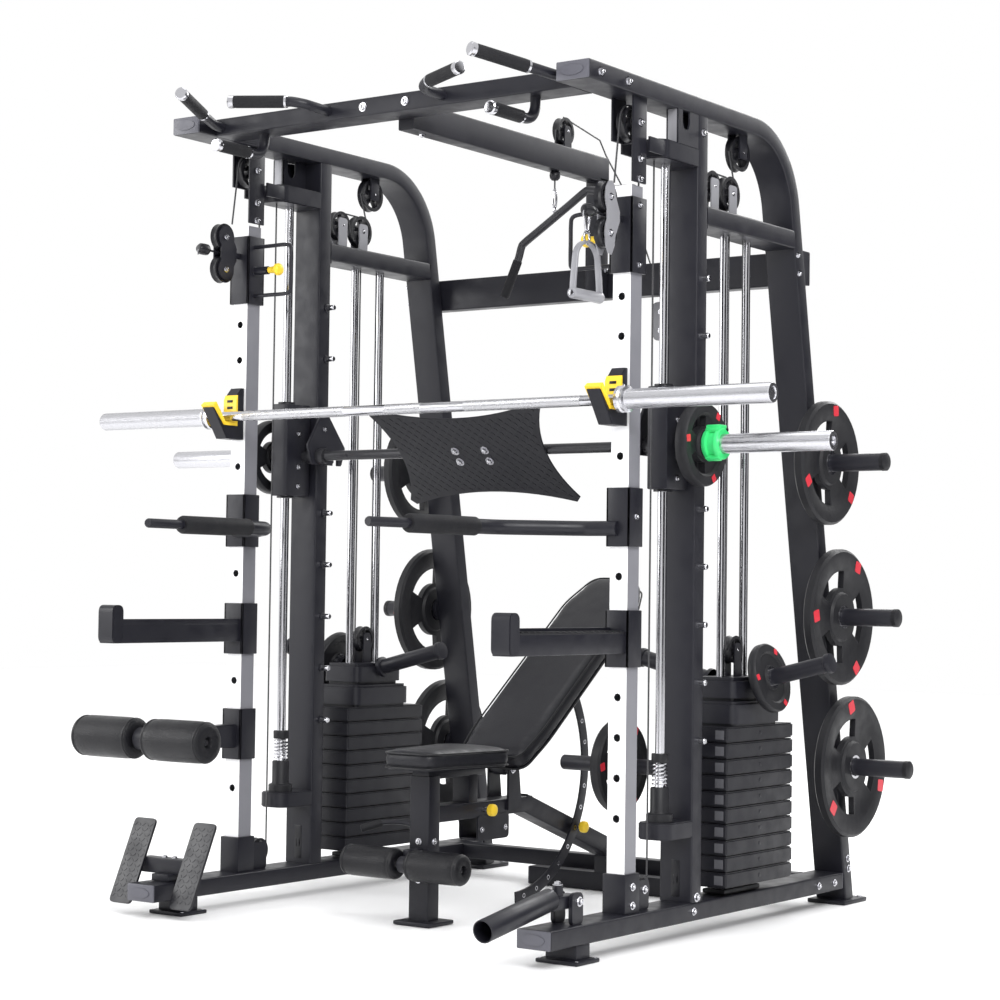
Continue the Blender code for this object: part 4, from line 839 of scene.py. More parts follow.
def pull_up_grips():
    kit = Kit("front_crossbar_look", STEEL, GRIP, CHROME)
    front = -0.165
    kit.sweep([(-0.5876, -0.1175, TOP_Z), (0.5876, -0.1175, TOP_Z)],
        rounded_rectangle(0.0475, 0.0237, 0.005), (0, 1, 0))
    for x in (-0.07, 0.07):
        kit.use(2).bolt((x, front, TOP_Z), (0, -1, 0), 0.009)
    low = 2.1278
    for side in (-1, 1):
        runs = [
            ([(0.568, front + 0.002, 2.150), (0.566, front - 0.030, 2.152), (0.552, front - 0.070, 2.157),
              (0.535, front - 0.112, 2.163)], (0.472, front - 0.264, 2.185)),
            ([(0.190, front + 0.002, 2.153), (0.190, front - 0.060, 2.155), (0.198, front - 0.088, 2.158),
              (0.222, front - 0.108, 2.163), (0.236, front - 0.1146, 2.1634)],
              (0.376, front - 0.180, 2.167)),
            ([(0.450, front + 0.045, low + 0.002), (0.450, front + 0.043, low - 0.030),
              (0.450, front + 0.030, low - 0.052), (0.450, front + 0.006, low - 0.062),
              (0.450, front - 0.020, low - 0.062)], (0.450, front - 0.150, low - 0.062)),
        ]
        for points, tip in runs:
            points = [Vector((side * x, y, z)) for x, y, z in points]
            tip = Vector((side * tip[0], tip[1], tip[2]))
            kit.use(0).pipe(points + [points[-1] + (tip - points[-1]) * 0.1], 0.0135, 18)
            along = (tip - points[-1]).normalized()
            length = (tip - points[-1]).length
            kit.use(2).lathe([(0.0135, -0.002), (0.0165, -0.002), (0.0165, 0.004), (0.0135, 0.004)],
                points[-1], along, 28)
            kit.use(1).lathe(
                [(0.0136, 0.004), (0.0158, 0.004), (0.0165, 0.010), (0.0165, length - 0.018),
                (0.0158, length - 0.012),
                 (0.0136, length - 0.012)], points[-1], along, 28)
            kit.use(2).lathe(
                [(0.0165, length - 0.012), (0.0172, length - 0.008), (0.0172, length + 0.001),
                (0.014, length + 0.004),
                 (0, length + 0.005)], points[-1], along, 28)
    kit.done("frame", "front_crossbar", slot="black_steel")


# ---------------------------------------------------------------- bars

def smith():
    for side in (-1, 1):
        x, out, end = side * SIDE_X, side, ENDS[side]
        kit = Kit("smith_carriage_look_" + end, STEEL, CHROME, PLASTIC)
        kit.box((x - 0.030, 0.176, 1.151), (x + 0.030, 0.276, 1.416), 0.004)
        for z in (1.1505, 1.4165):
            way = -1 if z < 1.2 else 1
            kit.use(2).lathe([(0.0135, 0), (0.024, 0), (0.024, way * 0.005), (0.0135, way * 0.006)],
                (x, ROD_Y, z), (0, 0, 1), 28)
        kit.use(1)
        for z in (1.18, 1.235, 1.33, 1.39):
            kit.bolt((x + out * 0.030, 0.226, z), (out, 0, 0), 0.0065)
            kit.bolt((x - out * 0.030, 0.226, z), (-out, 0, 0), 0.0065)
        kit.done("smith_carriage", "smith_carriage_" + end, slot="black_steel")
    kit = Kit("smith_bar_look", DARK_BAR, SLEEVE, STEEL, CHROME)
    kit.bar((-0.69, 0.25, 1.267), (0.69, 0.25, 1.267), 0.014, 32)
    for side in (-1, 1):
        kit.use(1).lathe(
            [(0.0141, 0.688), (0.033, 0.688), (0.033, 0.701), (0.031, 0.703), (0.025, 0.704),
            (0.025, 1.096),
             (0.0235, 1.0995), (0.012, 1.0995), (0.011, 1.095), (0, 1.095)], SMITH_BAR, (side, 0, 0), 40)
        peg_y, peg_z = PEG_Y, 1.255
        outline = [
            (0.220, 1.242), (peg_y - 0.011, 1.242), (peg_y - 0.011, peg_z + 0.0085),
            (peg_y - 0.009, peg_z + 0.0105),
            (peg_y + 0.009, peg_z + 0.0105), (peg_y + 0.011, peg_z + 0.0085),
            (peg_y + 0.011, peg_z - 0.013),
            (peg_y + 0.026, peg_z - 0.013), (peg_y + 0.030, peg_z - 0.008), (peg_y + 0.044, peg_z + 0.035),
            (peg_y + 0.043, peg_z + 0.042), (0.292, 1.385), (0.286, 1.388), (0.262, 1.388), (0.256, 1.384),
            (0.201, 1.300), (0.200, 1.293),
        ]
        kit.use(2).side_slab(outline, side * 0.547, side * 0.556)
        kit.use(0).lathe([(0.0141, 0.523), (0.021, 0.523), (0.022, 0.526), (0.022, 0.5465),
            (0.0141, 0.5465)],
                         SMITH_BAR, (side, 0, 0), 32)
        kit.lathe([(0.0141, 0.5565), (0.021, 0.5565), (0.022, 0.560), (0.022, 0.584), (0.0141, 0.586)],
                  SMITH_BAR, (side, 0, 0), 32)
        kit.use(3).bolt((side * 0.547, 0.272, 1.345), (-side, 0, 0), 0.006)
    kit.done("smith_bar", "smith_bar", slot="black_bar")
    for side in (-1, 1):
        name = "smith_plate_" + ENDS[side]
        body = "smith_bar" if side > 0 else "smith_plate_left"
        weight_plate(name + "_look", name, body, side, 0.25, 1.267, 0.108, 0.706, 0.740, 0.0255, 0.4)
    clamp()
    press_plate()


def clamp():
    kit = Kit("bar_clamp_look", GREEN, PLASTIC)
    kit.lathe(
        [(0.0256, 0.744), (0.038, 0.744), (0.040, 0.747), (0.040, 0.755), (0.034, 0.758), (0.034, 0.776),
         (0.040, 0.779), (0.040, 0.787), (0.038, 0.790), (0.0256, 0.790)], SMITH_BAR, (1, 0, 0), 36,
         closed=True)
    for angle in (20, 160, 270):
        spin = Matrix.Translation(SMITH_BAR) @ Matrix.Rotation(math.radians(angle), 4, "X")
        kit.box((0.747, -0.010, 0.033), (0.787, 0.010, 0.044), 0.003, spin)
    kit.box((0.746, 0.232, 1.297), (0.788, 0.268, 1.316), 0.004)
    kit.use(1).bar((0.743, 0.266, 1.304), (0.791, 0.266, 1.304), 0.0045, 16)
    kit.done("bar_clamp", "bar_clamp", slot="green_plastic")


def treads(kit, place, half_a, half_b, top, inside):
    """Crossed raised bars all over a plate, as on checker plate."""
    pitch = 0.0145
    for i in range(-int(half_a / pitch), int(half_a / pitch) + 1):
        for j in range(-int(half_b / pitch), int(half_b / pitch) + 1):
            a, b = i * pitch, j * pitch
            if not inside(a, b):
                continue
            turn = Matrix.Rotation(math.radians(45 if (i + j) % 2 else -45), 4, "Z")
            bar = [(-0.0068, 0), (-0.003, -0.0015), (0.003, -0.0015), (0.0068, 0), (0.003, 0.0015),
                (-0.003, 0.0015)]
            kit.slab(bar, place @ Matrix.Translation((a, b, 0)) @ turn, top - 0.0008, top + 0.0009, 0)


def press_plate():
    half_x, half_y, corner, steps = 0.2885, 0.1665, 0.016, 14
    outline = []

    def run(start, end, push):
        for i in range(steps + 1):
            t = i / steps
            bow = 4 * t * (1 - t)
            outline.append((start[0] + (end[0] - start[0]) * t + push[0] * bow,
                            start[1] + (end[1] - start[1]) * t + push[1] * bow))

    run((-half_x + corner, -half_y), (half_x - corner, -half_y), (0, 0.040))
    run((half_x, -half_y + corner), (half_x, half_y - corner), (-0.045, 0))
    run((half_x - corner, half_y), (-half_x + corner, half_y), (0, -0.040))
    run((-half_x, half_y - corner), (-half_x, -half_y + corner), (0.045, 0))
    lean = Matrix.Translation((0.010, 0.250, 1.267)) @ Matrix.Rotation(math.radians(131), 4, "X")
    kit = Kit("leg_press_look", TREAD, CHROME, STEEL)
    kit.slab(outline, lean, 0.0150, 0.0200, 0.0012)

    def inside(a, b):
        bow_a, bow_b = 0.045 * (1 - (b / half_y) ** 2), 0.040 * (1 - (a / half_x) ** 2)
        clear = min(math.dist((abs(a), abs(b)), (0.050, 0.0185)), 1)
        return abs(a) < half_x - bow_a - 0.012 and abs(b) < half_y - bow_b - 0.010 and clear > 0.017

    treads(kit, lean, half_x, half_y, 0.0200, inside)
    kit.use(2).box((-0.080, -0.032, -0.020), (0.080, 0.032, 0.0152), 0.004, lean)
    for a in (-0.050, 0.050):
        for b in (-0.0185, 0.0185):
            centre = lean @ Vector((a, b, 0.0205))
            kit.use(1).bolt(centre, lean.to_3x3() @ Vector((0, 0, 1)), 0.0095)
    kit.done("press_plate", "leg_press_plate", slot="black_steel")


def barbell():
    y, z = BARBELL_Y, BARBELL_Z
    kit = Kit("barbell_look", CHROME, SLEEVE, KNURL)
    kit.bar((-0.675, y, z), (0.675, y, z), 0.0138, 36)
    for start, end in ((-0.560, -0.200), (0.200, 0.560), (-0.060, 0.060)):
        kit.use(2).lathe([(0.0139, start), (0.0141, start + 0.002), (0.0141, end - 0.002), (0.0139, end)],
            (0, y, z), (1, 0, 0), 36)
    for side in (-1, 1):
        kit.use(1).lathe(
            [(0.0139, 0.668), (0.020, 0.668), (0.022, 0.672), (0.034, 0.673), (0.034, 0.682),
            (0.030, 0.686), (0.030, 0.690),
             (0.034, 0.692), (0.034, 0.696), (0.026, 0.698), (0.025, 0.700), (0.025, 1.096),
             (0.0235, 1.0995),
             (0.016, 1.0995), (0.015, 1.097), (0, 1.097)], (0, y, z), (side, 0, 0), 44)
    kit.done("barbell", "barbell", slot="chrome")


# ---------------------------------------------------------------- attachments

def sleeve(kit, side, low, high, closed=False):
    """The bracket round a front upright, as bevelled plates."""
    x, out, t = side * SIDE_X, 0.034, 0.0072
    back = 0.060 if closed else 0.056
    kit.box((x - out, -0.008, low), (x + out, -0.0008, high), 0.002)
    for way in (-1, 1):
        kit.box((x + way * out, -0.008, low), (x + way * (out - t), back, high), 0.002)
    if closed:
        kit.box((x - out, 0.0530, low), (x + out, 0.060, high), 0.002)


def j_hook(side):
    x, end = side * SIDE_X, ENDS[side]
    floor = BARBELL_Z - 0.0140 - 0.0004
    kit = Kit("j_hook_look_" + end, STEEL, YELLOW, CHROME)
    body = [(-0.0006, 1.300), (-0.0006, 1.445), (-0.012, 1.445), (-0.030, 1.425), (-0.030, floor - 0.006),
            (-0.076, floor - 0.006), (-0.114, floor + 0.040), (-0.127, floor + 0.036), (-0.070, 1.300)]
    kit.side_slab(body, x - 0.0205, x + 0.0205)
    cradle = [(-0.0300, 1.424), (-0.0365, 1.410), (-0.0365, floor + 0.004), (-0.0400, floor),
        (-0.0790, floor),
              (-0.1180, floor + 0.052), (-0.1300, floor + 0.043), (-0.0840, floor - 0.010),
              (-0.0300, floor - 0.010)]
    kit.use(1).side_slab(cradle, x - 0.0245, x + 0.0245, 0.001)
    for i in range(3):
        z = floor + 0.020 + i * 0.018
        kit.use(0).box((x - 0.010, -0.0374, z), (x + 0.010, -0.0360, z + 0.007), 0.0003)
    for i in range(2):
        along = Vector((0, -0.039, 0.052)).normalized()
        place = Vector((x, -0.079, floor)) + along * (0.022 + 0.020 * i)
        kit.bar(place + Vector((-0.012, 0, 0)), place + Vector((0.012, 0, 0)), 0.0022, 10)
    kit.use(2).bolt((x + side * 0.0205, -0.020, 1.400), (side, 0, 0), 0.005)
    kit.done("j_hook_" + end, "j_hook_" + end, slot="black_steel")


def spotter(side):
    x, end = side * SIDE_X, ENDS[side]
    kit = Kit("spotter_look_" + end, STEEL, RUBBER)
    sleeve(kit, side, 0.700, 0.842)
    kit.box((x - 0.027, -0.500, 0.735), (x + 0.027, -0.004, 0.785), 0.003)
    tip = panel(-0.506, 0.735, -0.465, 0.836, 0.019, 6)
    kit.side_slab(tip, x - 0.0275, x + 0.0275, 0.002)
    kit.box((x - side * 0.027, -0.480, 0.783), (x - side * 0.021, -0.0076, 0.799), 0.0015)
    kit.use(1).box((x - 0.0155, -0.466, 0.784), (x + 0.0265, -0.009, 0.789), 0.001)
    for i in range(18):
        y = -0.455 + 0.025 * i
        kit.box((x - 0.015, y, 0.788), (x + 0.026, y + 0.006, 0.7915), 0.001)
    kit.done("spotter_arm_" + end, "spotter_arm_" + end, slot="black_steel")


def dip_handle(side):
    x, z, end = side * SIDE_X, 1.045, ENDS[side]
    kit = Kit("dip_handle_look_" + end, STEEL, GRIP, CHROME)
    sleeve(kit, side, 1.000, 1.147)
    near = [(0.000, 0.006), (0.060, 0.012), (0.100, 0.024), (0.168, 0.087), (0.235, 0.150), (0.256, 0.190),
        (0.264, 0.250)]
    kit.pipe([(x - side * a, -b, z) for a, b in near], 0.019, 20)
    start, finish = Vector((x - side * 0.264, -0.248, z)), Vector((x - side * 0.270, -0.510, z))
    length = (finish - start).length
    kit.use(1).lathe(
        [(0, -0.001), (0.021, -0.001), (0.0235, 0.004), (0.0235, length - 0.006), (0.021, length),
        (0, length)],
        start, finish - start, 32)
    tip = Vector((x - side * 0.283, -0.647, z))
    length = (tip - finish).length
    kit.use(0).lathe([(0.012, -0.002), (0.012, length - 0.004), (0.010, length), (0, length)], finish,
        tip - finish, 24)
    kit.use(2).bolt((x + side * 0.034, 0.026, 1.075), (side, 0, 0), 0.007)
    kit.done("dip_handle_" + end, "dip_handle_" + end, slot="black_steel")


def pulley_carriage(side):
    x, end, y = side * SIDE_X, ENDS[side], 0.020
    inner = side * (SIDE_X - 0.034)
    kit = Kit("pulley_carriage_look_" + end, STEEL, CHROME)
    sleeve(kit, side, 1.684, 1.875, closed=True)
    kit.pipe(
        [(inner + side * 0.002, y, 1.845), (inner - side * 0.060, y, 1.845),
        (inner - side * 0.112, y, 1.845),
         (inner - side * 0.131, y, 1.838), (inner - side * 0.1345, y, 1.820),
         (inner - side * 0.1345, y, 1.776),
         (inner - side * 0.1345, y, 1.730), (inner - side * 0.131, y, 1.712),
         (inner - side * 0.112, y, 1.707),
         (inner - side * 0.060, y, 1.707), (inner + side * 0.002, y, 1.707)], 0.0055, 14)
    kit.lathe([(0.0058, 0.050), (0.0115, 0.050), (0.0115, 0.004), (0.014, 0.003), (0.014, -0.001)],
        (inner, y, 1.777), (-side, 0, 0), 24)
    kit.box((x - 0.004, -0.040, 1.810), (x + 0.004, -0.006, 1.826), 0.001)
    kit.bar((x, -0.040, 1.808), (x, -0.040, 1.828), 0.009, 24, bevel=0.001)
    kit.use(1)
    for z in (1.705, 1.855):
        kit.bolt((x + side * 0.034, 0.026, z), (side, 0, 0), 0.0065)
    kit.done("pulley_carriage_" + end, "pulley_carriage_" + end, slot="black_steel")
    pin = Kit("pop_pin_look_" + end, YELLOW, CHROME)
    start = (side * (SIDE_X - 0.034 - 0.002), y, 1.777)
    pin.lathe([(0.009, 0.052), (0.010, 0.072), (0.0165, 0.080), (0.017, 0.083), (0.017, 0.088),
        (0.015, 0.092),
               (0.010, 0.0945), (0, 0.0955)], start, (-side, 0, 0), 30)
    pin.lathe([(0, 0.052), (0.009, 0.052)], start, (-side, 0, 0), 30)
    pin.use(1).lathe([(0, 0.0), (0.005, 0.0), (0.005, 0.053)], start, (-side, 0, 0), 20)
    pin.done("pop_pin_" + end, "pop_pin_" + end, slot="yellow_plastic")


def pulley_swivel(side):
    x, end, y = side * SIDE_X, ENDS[side], -0.080
    cheeks_of = 3 if side > 0 else 0
    kit = Kit("pulley_swivel_look_" + end, STEEL, PLASTIC, CHROME, GREY)
    for z in SWIVEL_WHEELS:
        pulley(kit, (x, y, z), 0.038, 0.0105, 1, 2)
    outline = [(-0.037, 1.806), (-0.037, 1.830), (y + 0.024, 1.868), (y + 0.020, 1.890), (y + 0.008, 1.904),
        (y - 0.008, 1.902),
               (y - 0.020, 1.886), (y - 0.024, 1.862), (y - 0.020, 1.842), (y - 0.014, 1.830),
               (y - 0.014, 1.806),
               (y - 0.020, 1.794), (y - 0.024, 1.774), (y - 0.020, 1.744), (y - 0.008, 1.722),
               (y + 0.008, 1.720),
               (y + 0.020, 1.742), (y + 0.024, 1.768)]
    if side < 0:
        outline = [(-0.037, 1.800), (-0.037, 1.836)]
        for z, start in ((1.863, -10), (1.773, 130)):
            outline += arc(y, z, 0.031, start, 20, 13)
    kit.use(cheeks_of)
    kit.side_slab(outline, x - 0.0160, x - 0.0120, 0.0008)
    kit.side_slab(outline, x + 0.0120, x + 0.0160, 0.0008)
    kit.use(2)
    for z in SWIVEL_WHEELS:
        for way in (-1, 1):
            kit.bolt((x + way * 0.016, y, z), (way, 0, 0), 0.007)
    kit.use(1).lathe([(0, 0.040), (0.010, 0.041), (0.0155, 0.048), (0.016, 0.060), (0.0155, 0.072),
        (0.010, 0.080), (0, 0.082)],
                     (x, y - 0.016, 1.820), (0, -1, 0), 28)
    kit.use(1).bar((x, y - 0.004, 1.818), (x, y - 0.060, 1.820), 0.003, 14)
    kit.use(2).pipe([(x, y - 0.094, 1.820), (x, y - 0.098, 1.812), (x, y - 0.098, 1.802)], 0.0018, 8)
    kit.done("pulley_swivel_" + end, "pulley_swivel_" + end, slot="grey_steel")


def d_handle():
    x, y = 0.600, -0.107
    kit = Kit("d_handle_look", GREY, CHROME, GRIP)
    loop = [(x, y + 0.060, 1.618), (x, y + 0.058, 1.650), (x, y + 0.052, 1.695)]
    for i in range(1, 8):
        angle = math.pi * i / 8
        loop.append((x, y + 0.052 * math.cos(angle), 1.700 + 0.050 * math.sin(angle)))
    loop += [(x, y - 0.052, 1.695), (x, y - 0.058, 1.650), (x, y - 0.060, 1.618)]
    kit.sweep(smoothed(loop, 3), rounded_rectangle(0.0085, 0.0035, 0.002), (1, 0, 0))
    kit.lathe(
        [(0, -0.066), (0.012, -0.066), (0.014, -0.062), (0.0135, 0), (0.014, 0.062), (0.012, 0.066),
        (0, 0.066)],
        (x, y, 1.618), (0, 1, 0), 28)
    kit.use(1).lathe([(0, 0), (0.0075, 0), (0.0065, 0.002), (0, 0.003)], (x, y - 0.0655, 1.618), (0, -1, 0),
        20)
    ring = []
    for i in range(25):
        angle = math.tau * i / 24
        ring.append((x, y + 0.012 * math.sin(angle), 1.762 + 0.016 * math.cos(angle)))
    kit.use(1).pipe(ring, 0.003, 10, smooth=False)
    clip = []
    for i in range(33):
        angle = math.tau * i / 32
        clip.append((x, y + (0.010 + 0.004 * math.cos(angle)) * math.sin(angle),
            1.808 + 0.034 * math.cos(angle)))
    kit.pipe(clip, 0.0036, 10, smooth=False)
    kit.done("d_handle", "d_handle", slot="grey_steel")


def lat_bar():
    eye = Vector((0, 0.634, 1.965))
    tilt, bend = math.radians(32), math.radians(34)
    way = Vector((math.cos(tilt), 0, math.sin(tilt)))
    points = []
    for sign in (-1, 1):
        angle = (tilt - bend) if sign > 0 else (math.pi + tilt + bend)
        end_way = Vector((math.cos(angle), 0, math.sin(angle)))
        elbow = eye + way * sign * 0.123
        run = [eye + way * sign * 0.060, elbow, elbow + way * sign * 0.008 + end_way * 0.010,
               elbow + end_way * 0.060, elbow + end_way * 0.170]
        points = run[::-1] if sign < 0 else points + [eye] + run
        grip_start = elbow + end_way * 0.055
        if sign < 0:
            left_grip = (grip_start, end_way)
        else:
            right_grip = (grip_start, end_way)
    kit = Kit("lat_bar_look", DARK_BAR, GRIP, CHROME)
    kit.pipe(points, 0.0115, 18)
    for start, end_way in (left_grip, right_grip):
        kit.use(1).lathe([(0.0112, 0), (0.0132, 0.001), (0.0136, 0.006), (0.0136, 0.108), (0.012, 0.1135),
            (0, 0.1145)],
                         start, end_way, 24)
    kit.use(2).pipe([(0, 0.634, 1.972), (0, 0.640, 1.985), (0, 0.634, 1.998), (0, 0.628, 1.985),
        (0, 0.634, 1.972)], 0.003, 8)
    clip = [(0, 0.634 + 0.009 * math.sin(math.tau * i / 24),
        2.020 + 0.028 * math.cos(math.tau * i / 24)) for i in range(25)]
    kit.pipe(clip, 0.003, 8, smooth=False)
    kit.done("lat_bar", "lat_bar", slot="black_bar")


def landmine():
    kit = Kit("landmine_look", STEEL, CHROME)
    start = Vector((SIDE_X, -0.290, 0.156))
    way = Vector((0, -0.270, -0.045)).normalized()
    kit.lathe([(0, 0.030), (0.0245, 0.030), (0.0245, 0.273), (0.0255, 0.274), (0.0270, 0.274),
        (0.0275, 0.272), (0.0275, 0),
               (0.026, -0.002), (0, -0.002)], start, way, 40)
    kit.box((SIDE_X - 0.0185, -0.300, 0.130), (SIDE_X + 0.0185, -0.192, 0.162), 0.004)
    kit.bar((SIDE_X, -0.256, 0.160), (SIDE_X, -0.256, 0.190), 0.013, 28, bevel=0.002)
    kit.use(1).bolt((SIDE_X, -0.256, 0.188), (0, 0, 1), 0.009)
    kit.done("landmine", "landmine_tube", slot="black_steel")


def foot_plate():
    x, y, z = -SIDE_X, -0.2725, 0.140
    kit = Kit("foot_plate_look", TREAD, STEEL, CHROME)
    stand = Matrix.Translation((0, y, z)) @ Matrix.Rotation(math.pi / 2 + math.radians(-24), 4, "X")
    for offset in (-0.110, 0.110):
        corners = [(x + offset + a * 0.040, b * 0.121) for a, b in ((1, 1), (-1, 1), (-1, -1), (1, -1))]
        kit.use(0).slab(rounded(corners, 0.014, 4), stand, -0.004, 0.0035, 0.001)
        middle = stand @ Matrix.Translation((x + offset, 0, 0))
        treads(kit, middle, 0.034, 0.113, 0.0035, lambda a, b: abs(a) < 0.033 and abs(b) < 0.112)
    kit.use(1).box((x - 0.090, y + 0.008, 0.110), (x + 0.090, y + 0.046, 0.152), 0.004)
    kit.box((x - 0.030, y - 0.012, 0.0924), (x + 0.030, y + 0.070, 0.112), 0.003)
    kit.use(2)
    for dx in (-0.018, 0.018):
        kit.bolt((x + dx, y + 0.027, 0.152), (0, 0, 1), 0.007)
    kit.done("frame", "foot_plate", slot="black_steel")


def rollers(name, node, body, centre, inner, outer, radius):
    """Two foam rollers, crowned, with a sewn seam and a sunk end round the axle."""
    kit = Kit(name, ROLL, PIPING, CHROME)
    for way in (-1, 1):
        middle, half = (inner + outer) / 2, (outer - inner) / 2
        profile = [(0.010, inner + 0.004), (radius * 0.62, inner + 0.001), (radius * 0.84, inner + 0.003)]
        for i in range(9):
            t = -1 + i / 4
            profile.append((radius * (1.0 - 0.07 * abs(t) ** 8), middle + t * (half - 0.006)))
        profile += [(radius * 0.84, outer - 0.003), (radius * 0.62, outer - 0.001),
            (radius * 0.30, outer - 0.003), (0.013, outer - 0.010),
                    (0.012, outer - 0.016), (0, outer - 0.016)]
        kit.use(0).lathe(profile, centre, (way, 0, 0), 48)
        for spot in (inner + 0.012, outer - 0.012):
            seam = [(radius * 0.950, spot - 0.0022), (radius * 0.985, spot - 0.0008),
                (radius * 0.985, spot + 0.0008),
                    (radius * 0.950, spot + 0.0022)]
            kit.use(1).lathe(seam, centre, (way, 0, 0), 48)
    kit.use(2).bar((centre[0] - outer + 0.012, centre[1], centre[2]),
        (centre[0] + outer - 0.012, centre[1], centre[2]), 0.009, 20)
    made = kit.done(body, node, slot="foam", angle=50)


def leg_roller_bracket():
    x, y, z = LEG_ROLLERS
    kit = Kit("leg_roller_bracket_look", STEEL, CHROME)
    sleeve(kit, -1, 0.406, 0.547)
    arm = rounded([(-0.006, z + 0.026), (-0.006, z - 0.040), (y, z - 0.024), (y - 0.002, z + 0.020)], 0.008,
        4)
    kit.side_slab(arm, x - 0.019, x + 0.019, 0.003)
    kit.lathe([(0.0115, -0.0205), (0.027, -0.0205), (0.030, -0.018), (0.030, 0.018), (0.027, 0.0205),
        (0.0115, 0.0205)],
              (x, y, z), (1, 0, 0), 36, closed=True)
    kit.use(1).bolt((x - 0.034, 0.026, 0.52), (-1, 0, 0), 0.007)
    kit.bolt((x - 0.034, 0.026, 0.43), (-1, 0, 0), 0.007)
    kit.done("frame", "leg_roller_bracket", slot="black_steel")


# ---------------------------------------------------------------- bench

BACK = Matrix.Translation((0, 0.3695, 0.3890)) @ Matrix.Rotation(math.radians(37.5), 4, "X")


def pad(name, node, body, corners, radius, low, high, place, crown):
    """A stuffed pad on a board: pulled-in lower edge, crowned top, with piping round the top seam."""
    outline = rounded(corners, radius, 6)
    dense = []
    for i, point in enumerate(outline):
        after = outline[(i + 1) % len(outline)]
        length = math.dist(point, after)
        count = max(1, int(length / 0.022))
        for j in range(count):
            t = j / count
            dense.append((point[0] + (after[0] - point[0]) * t, point[1] + (after[1] - point[1]) * t))
    middle = (sum(p[0] for p in dense) / len(dense), sum(p[1] for p in dense) / len(dense))
    depth = high - low

    def inset(p, d):
        """Moves an edge point inwards by d, less near the middle lines."""
        a = p[0] - d * (1 if p[0] > middle[0] else -1) * min(1, abs(p[0] - middle[0]) / 0.05)
        return a, p[1] - d * max(-1, min(1, (p[1] - middle[1]) / 0.06))

    levels = [(0.008, 0.10), (0.003, 0.13), (0.0005, 0.30), (0.0, 0.50), (0.0005, 0.70), (0.004, 0.86),
        (0.010, 0.95),
              (0.022, 1.0)]
    form = bmesh.new()
    rings = [[form.verts.new((*inset(p, d), low + depth * t)) for p in dense] for d, t in levels]
    count = len(dense)
    for first, second in zip(rings, rings[1:]):
        for i in range(count):
            j = (i + 1) % count
            form.faces.new((first[i], first[j], second[j], second[i]))
    inner = rings[-1]
    for k in range(1, 5):
        share = 1 - k / 5
        ring = []
        for vert in rings[-1]:
            ring.append(form.verts.new((
                middle[0] + (vert.co.x - middle[0]) * share,
                vert.co.y - (vert.co.y - middle[1]) * 0.075 * (1 - share),
                high + crown * (1 - share**2))))
        for i in range(count):
            j = (i + 1) % count
            form.faces.new((inner[i], inner[j], ring[j], ring[i]))
        inner = ring
    form.faces.new(inner)
    form.faces.new(rings[0][::-1])
    bmesh.ops.recalc_face_normals(form, faces=form.faces)
    bmesh.ops.transform(form, matrix=Matrix.Translation(SHIFT) @ place, verts=form.verts)
    mesh = bpy.data.meshes.new(name)
    form.to_mesh(mesh)
    form.free()
    mesh.materials.append(VINYL)
    made = placed(name, mesh)
    stuff(made)
    made.data.shade_smooth()
    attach(made, body)
    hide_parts(node)
    seam = Kit(name + "_piping", PIPING, STEEL)
    for d, t in ((0.0035, 0.88), (0.003, 0.13)):
        ring = [place @ Vector((*inset(p, d - 0.0015), low + depth * t)) for p in dense]
        seam.use(0).pipe(ring + ring[:2], 0.0026, 8, smooth=False)
    board = [inset(p, 0.007) for p in dense]
    seam.use(1).slab(board, place, low + 0.0005, low + depth * 0.12, 0.001)
    seam.done(body, slot="vinyl")


def stuff(made, pressure=2.0, cap=0.003, last=14):
    """Swells a pad a little with a cloth simulation, and limits how far any point moves."""
    remesh = made.modifiers.new("remesh", "REMESH")
    remesh.mode = "VOXEL"
    remesh.voxel_size = 0.008
    bpy.context.view_layer.update()
    graph = bpy.context.evaluated_depsgraph_get()
    base = bpy.data.meshes.new_from_object(made.evaluated_get(graph))
    made.modifiers.clear()
    made.data = base
    base.materials.clear()
    base.materials.append(VINYL)
    before = [v.co.copy() for v in base.vertices]
    cloth = made.modifiers.new("swell", "CLOTH")
    cloth.settings.use_pressure = True
    cloth.settings.uniform_pressure_force = pressure
    cloth.settings.effector_weights.gravity = 0
    cloth.settings.quality = 4
    cloth.point_cache.frame_start, cloth.point_cache.frame_end = 1, last
    scene = bpy.context.scene
    for number in range(1, last + 1):
        scene.frame_set(number)
    after = bpy.data.meshes.new_from_object(made.evaluated_get(bpy.context.evaluated_depsgraph_get()))
    made.modifiers.clear()
    moved = [v.co.copy() for v in after.vertices]
    for vert, start, end in zip(base.vertices, before, moved):
        step = end - start
        if step.length > cap:
            step = step.normalized() * cap
        vert.co = start + step
    scene.frame_set(1)
    smooth = made.modifiers.new("smooth", "SUBSURF")
    smooth.levels = smooth.render_levels = 1


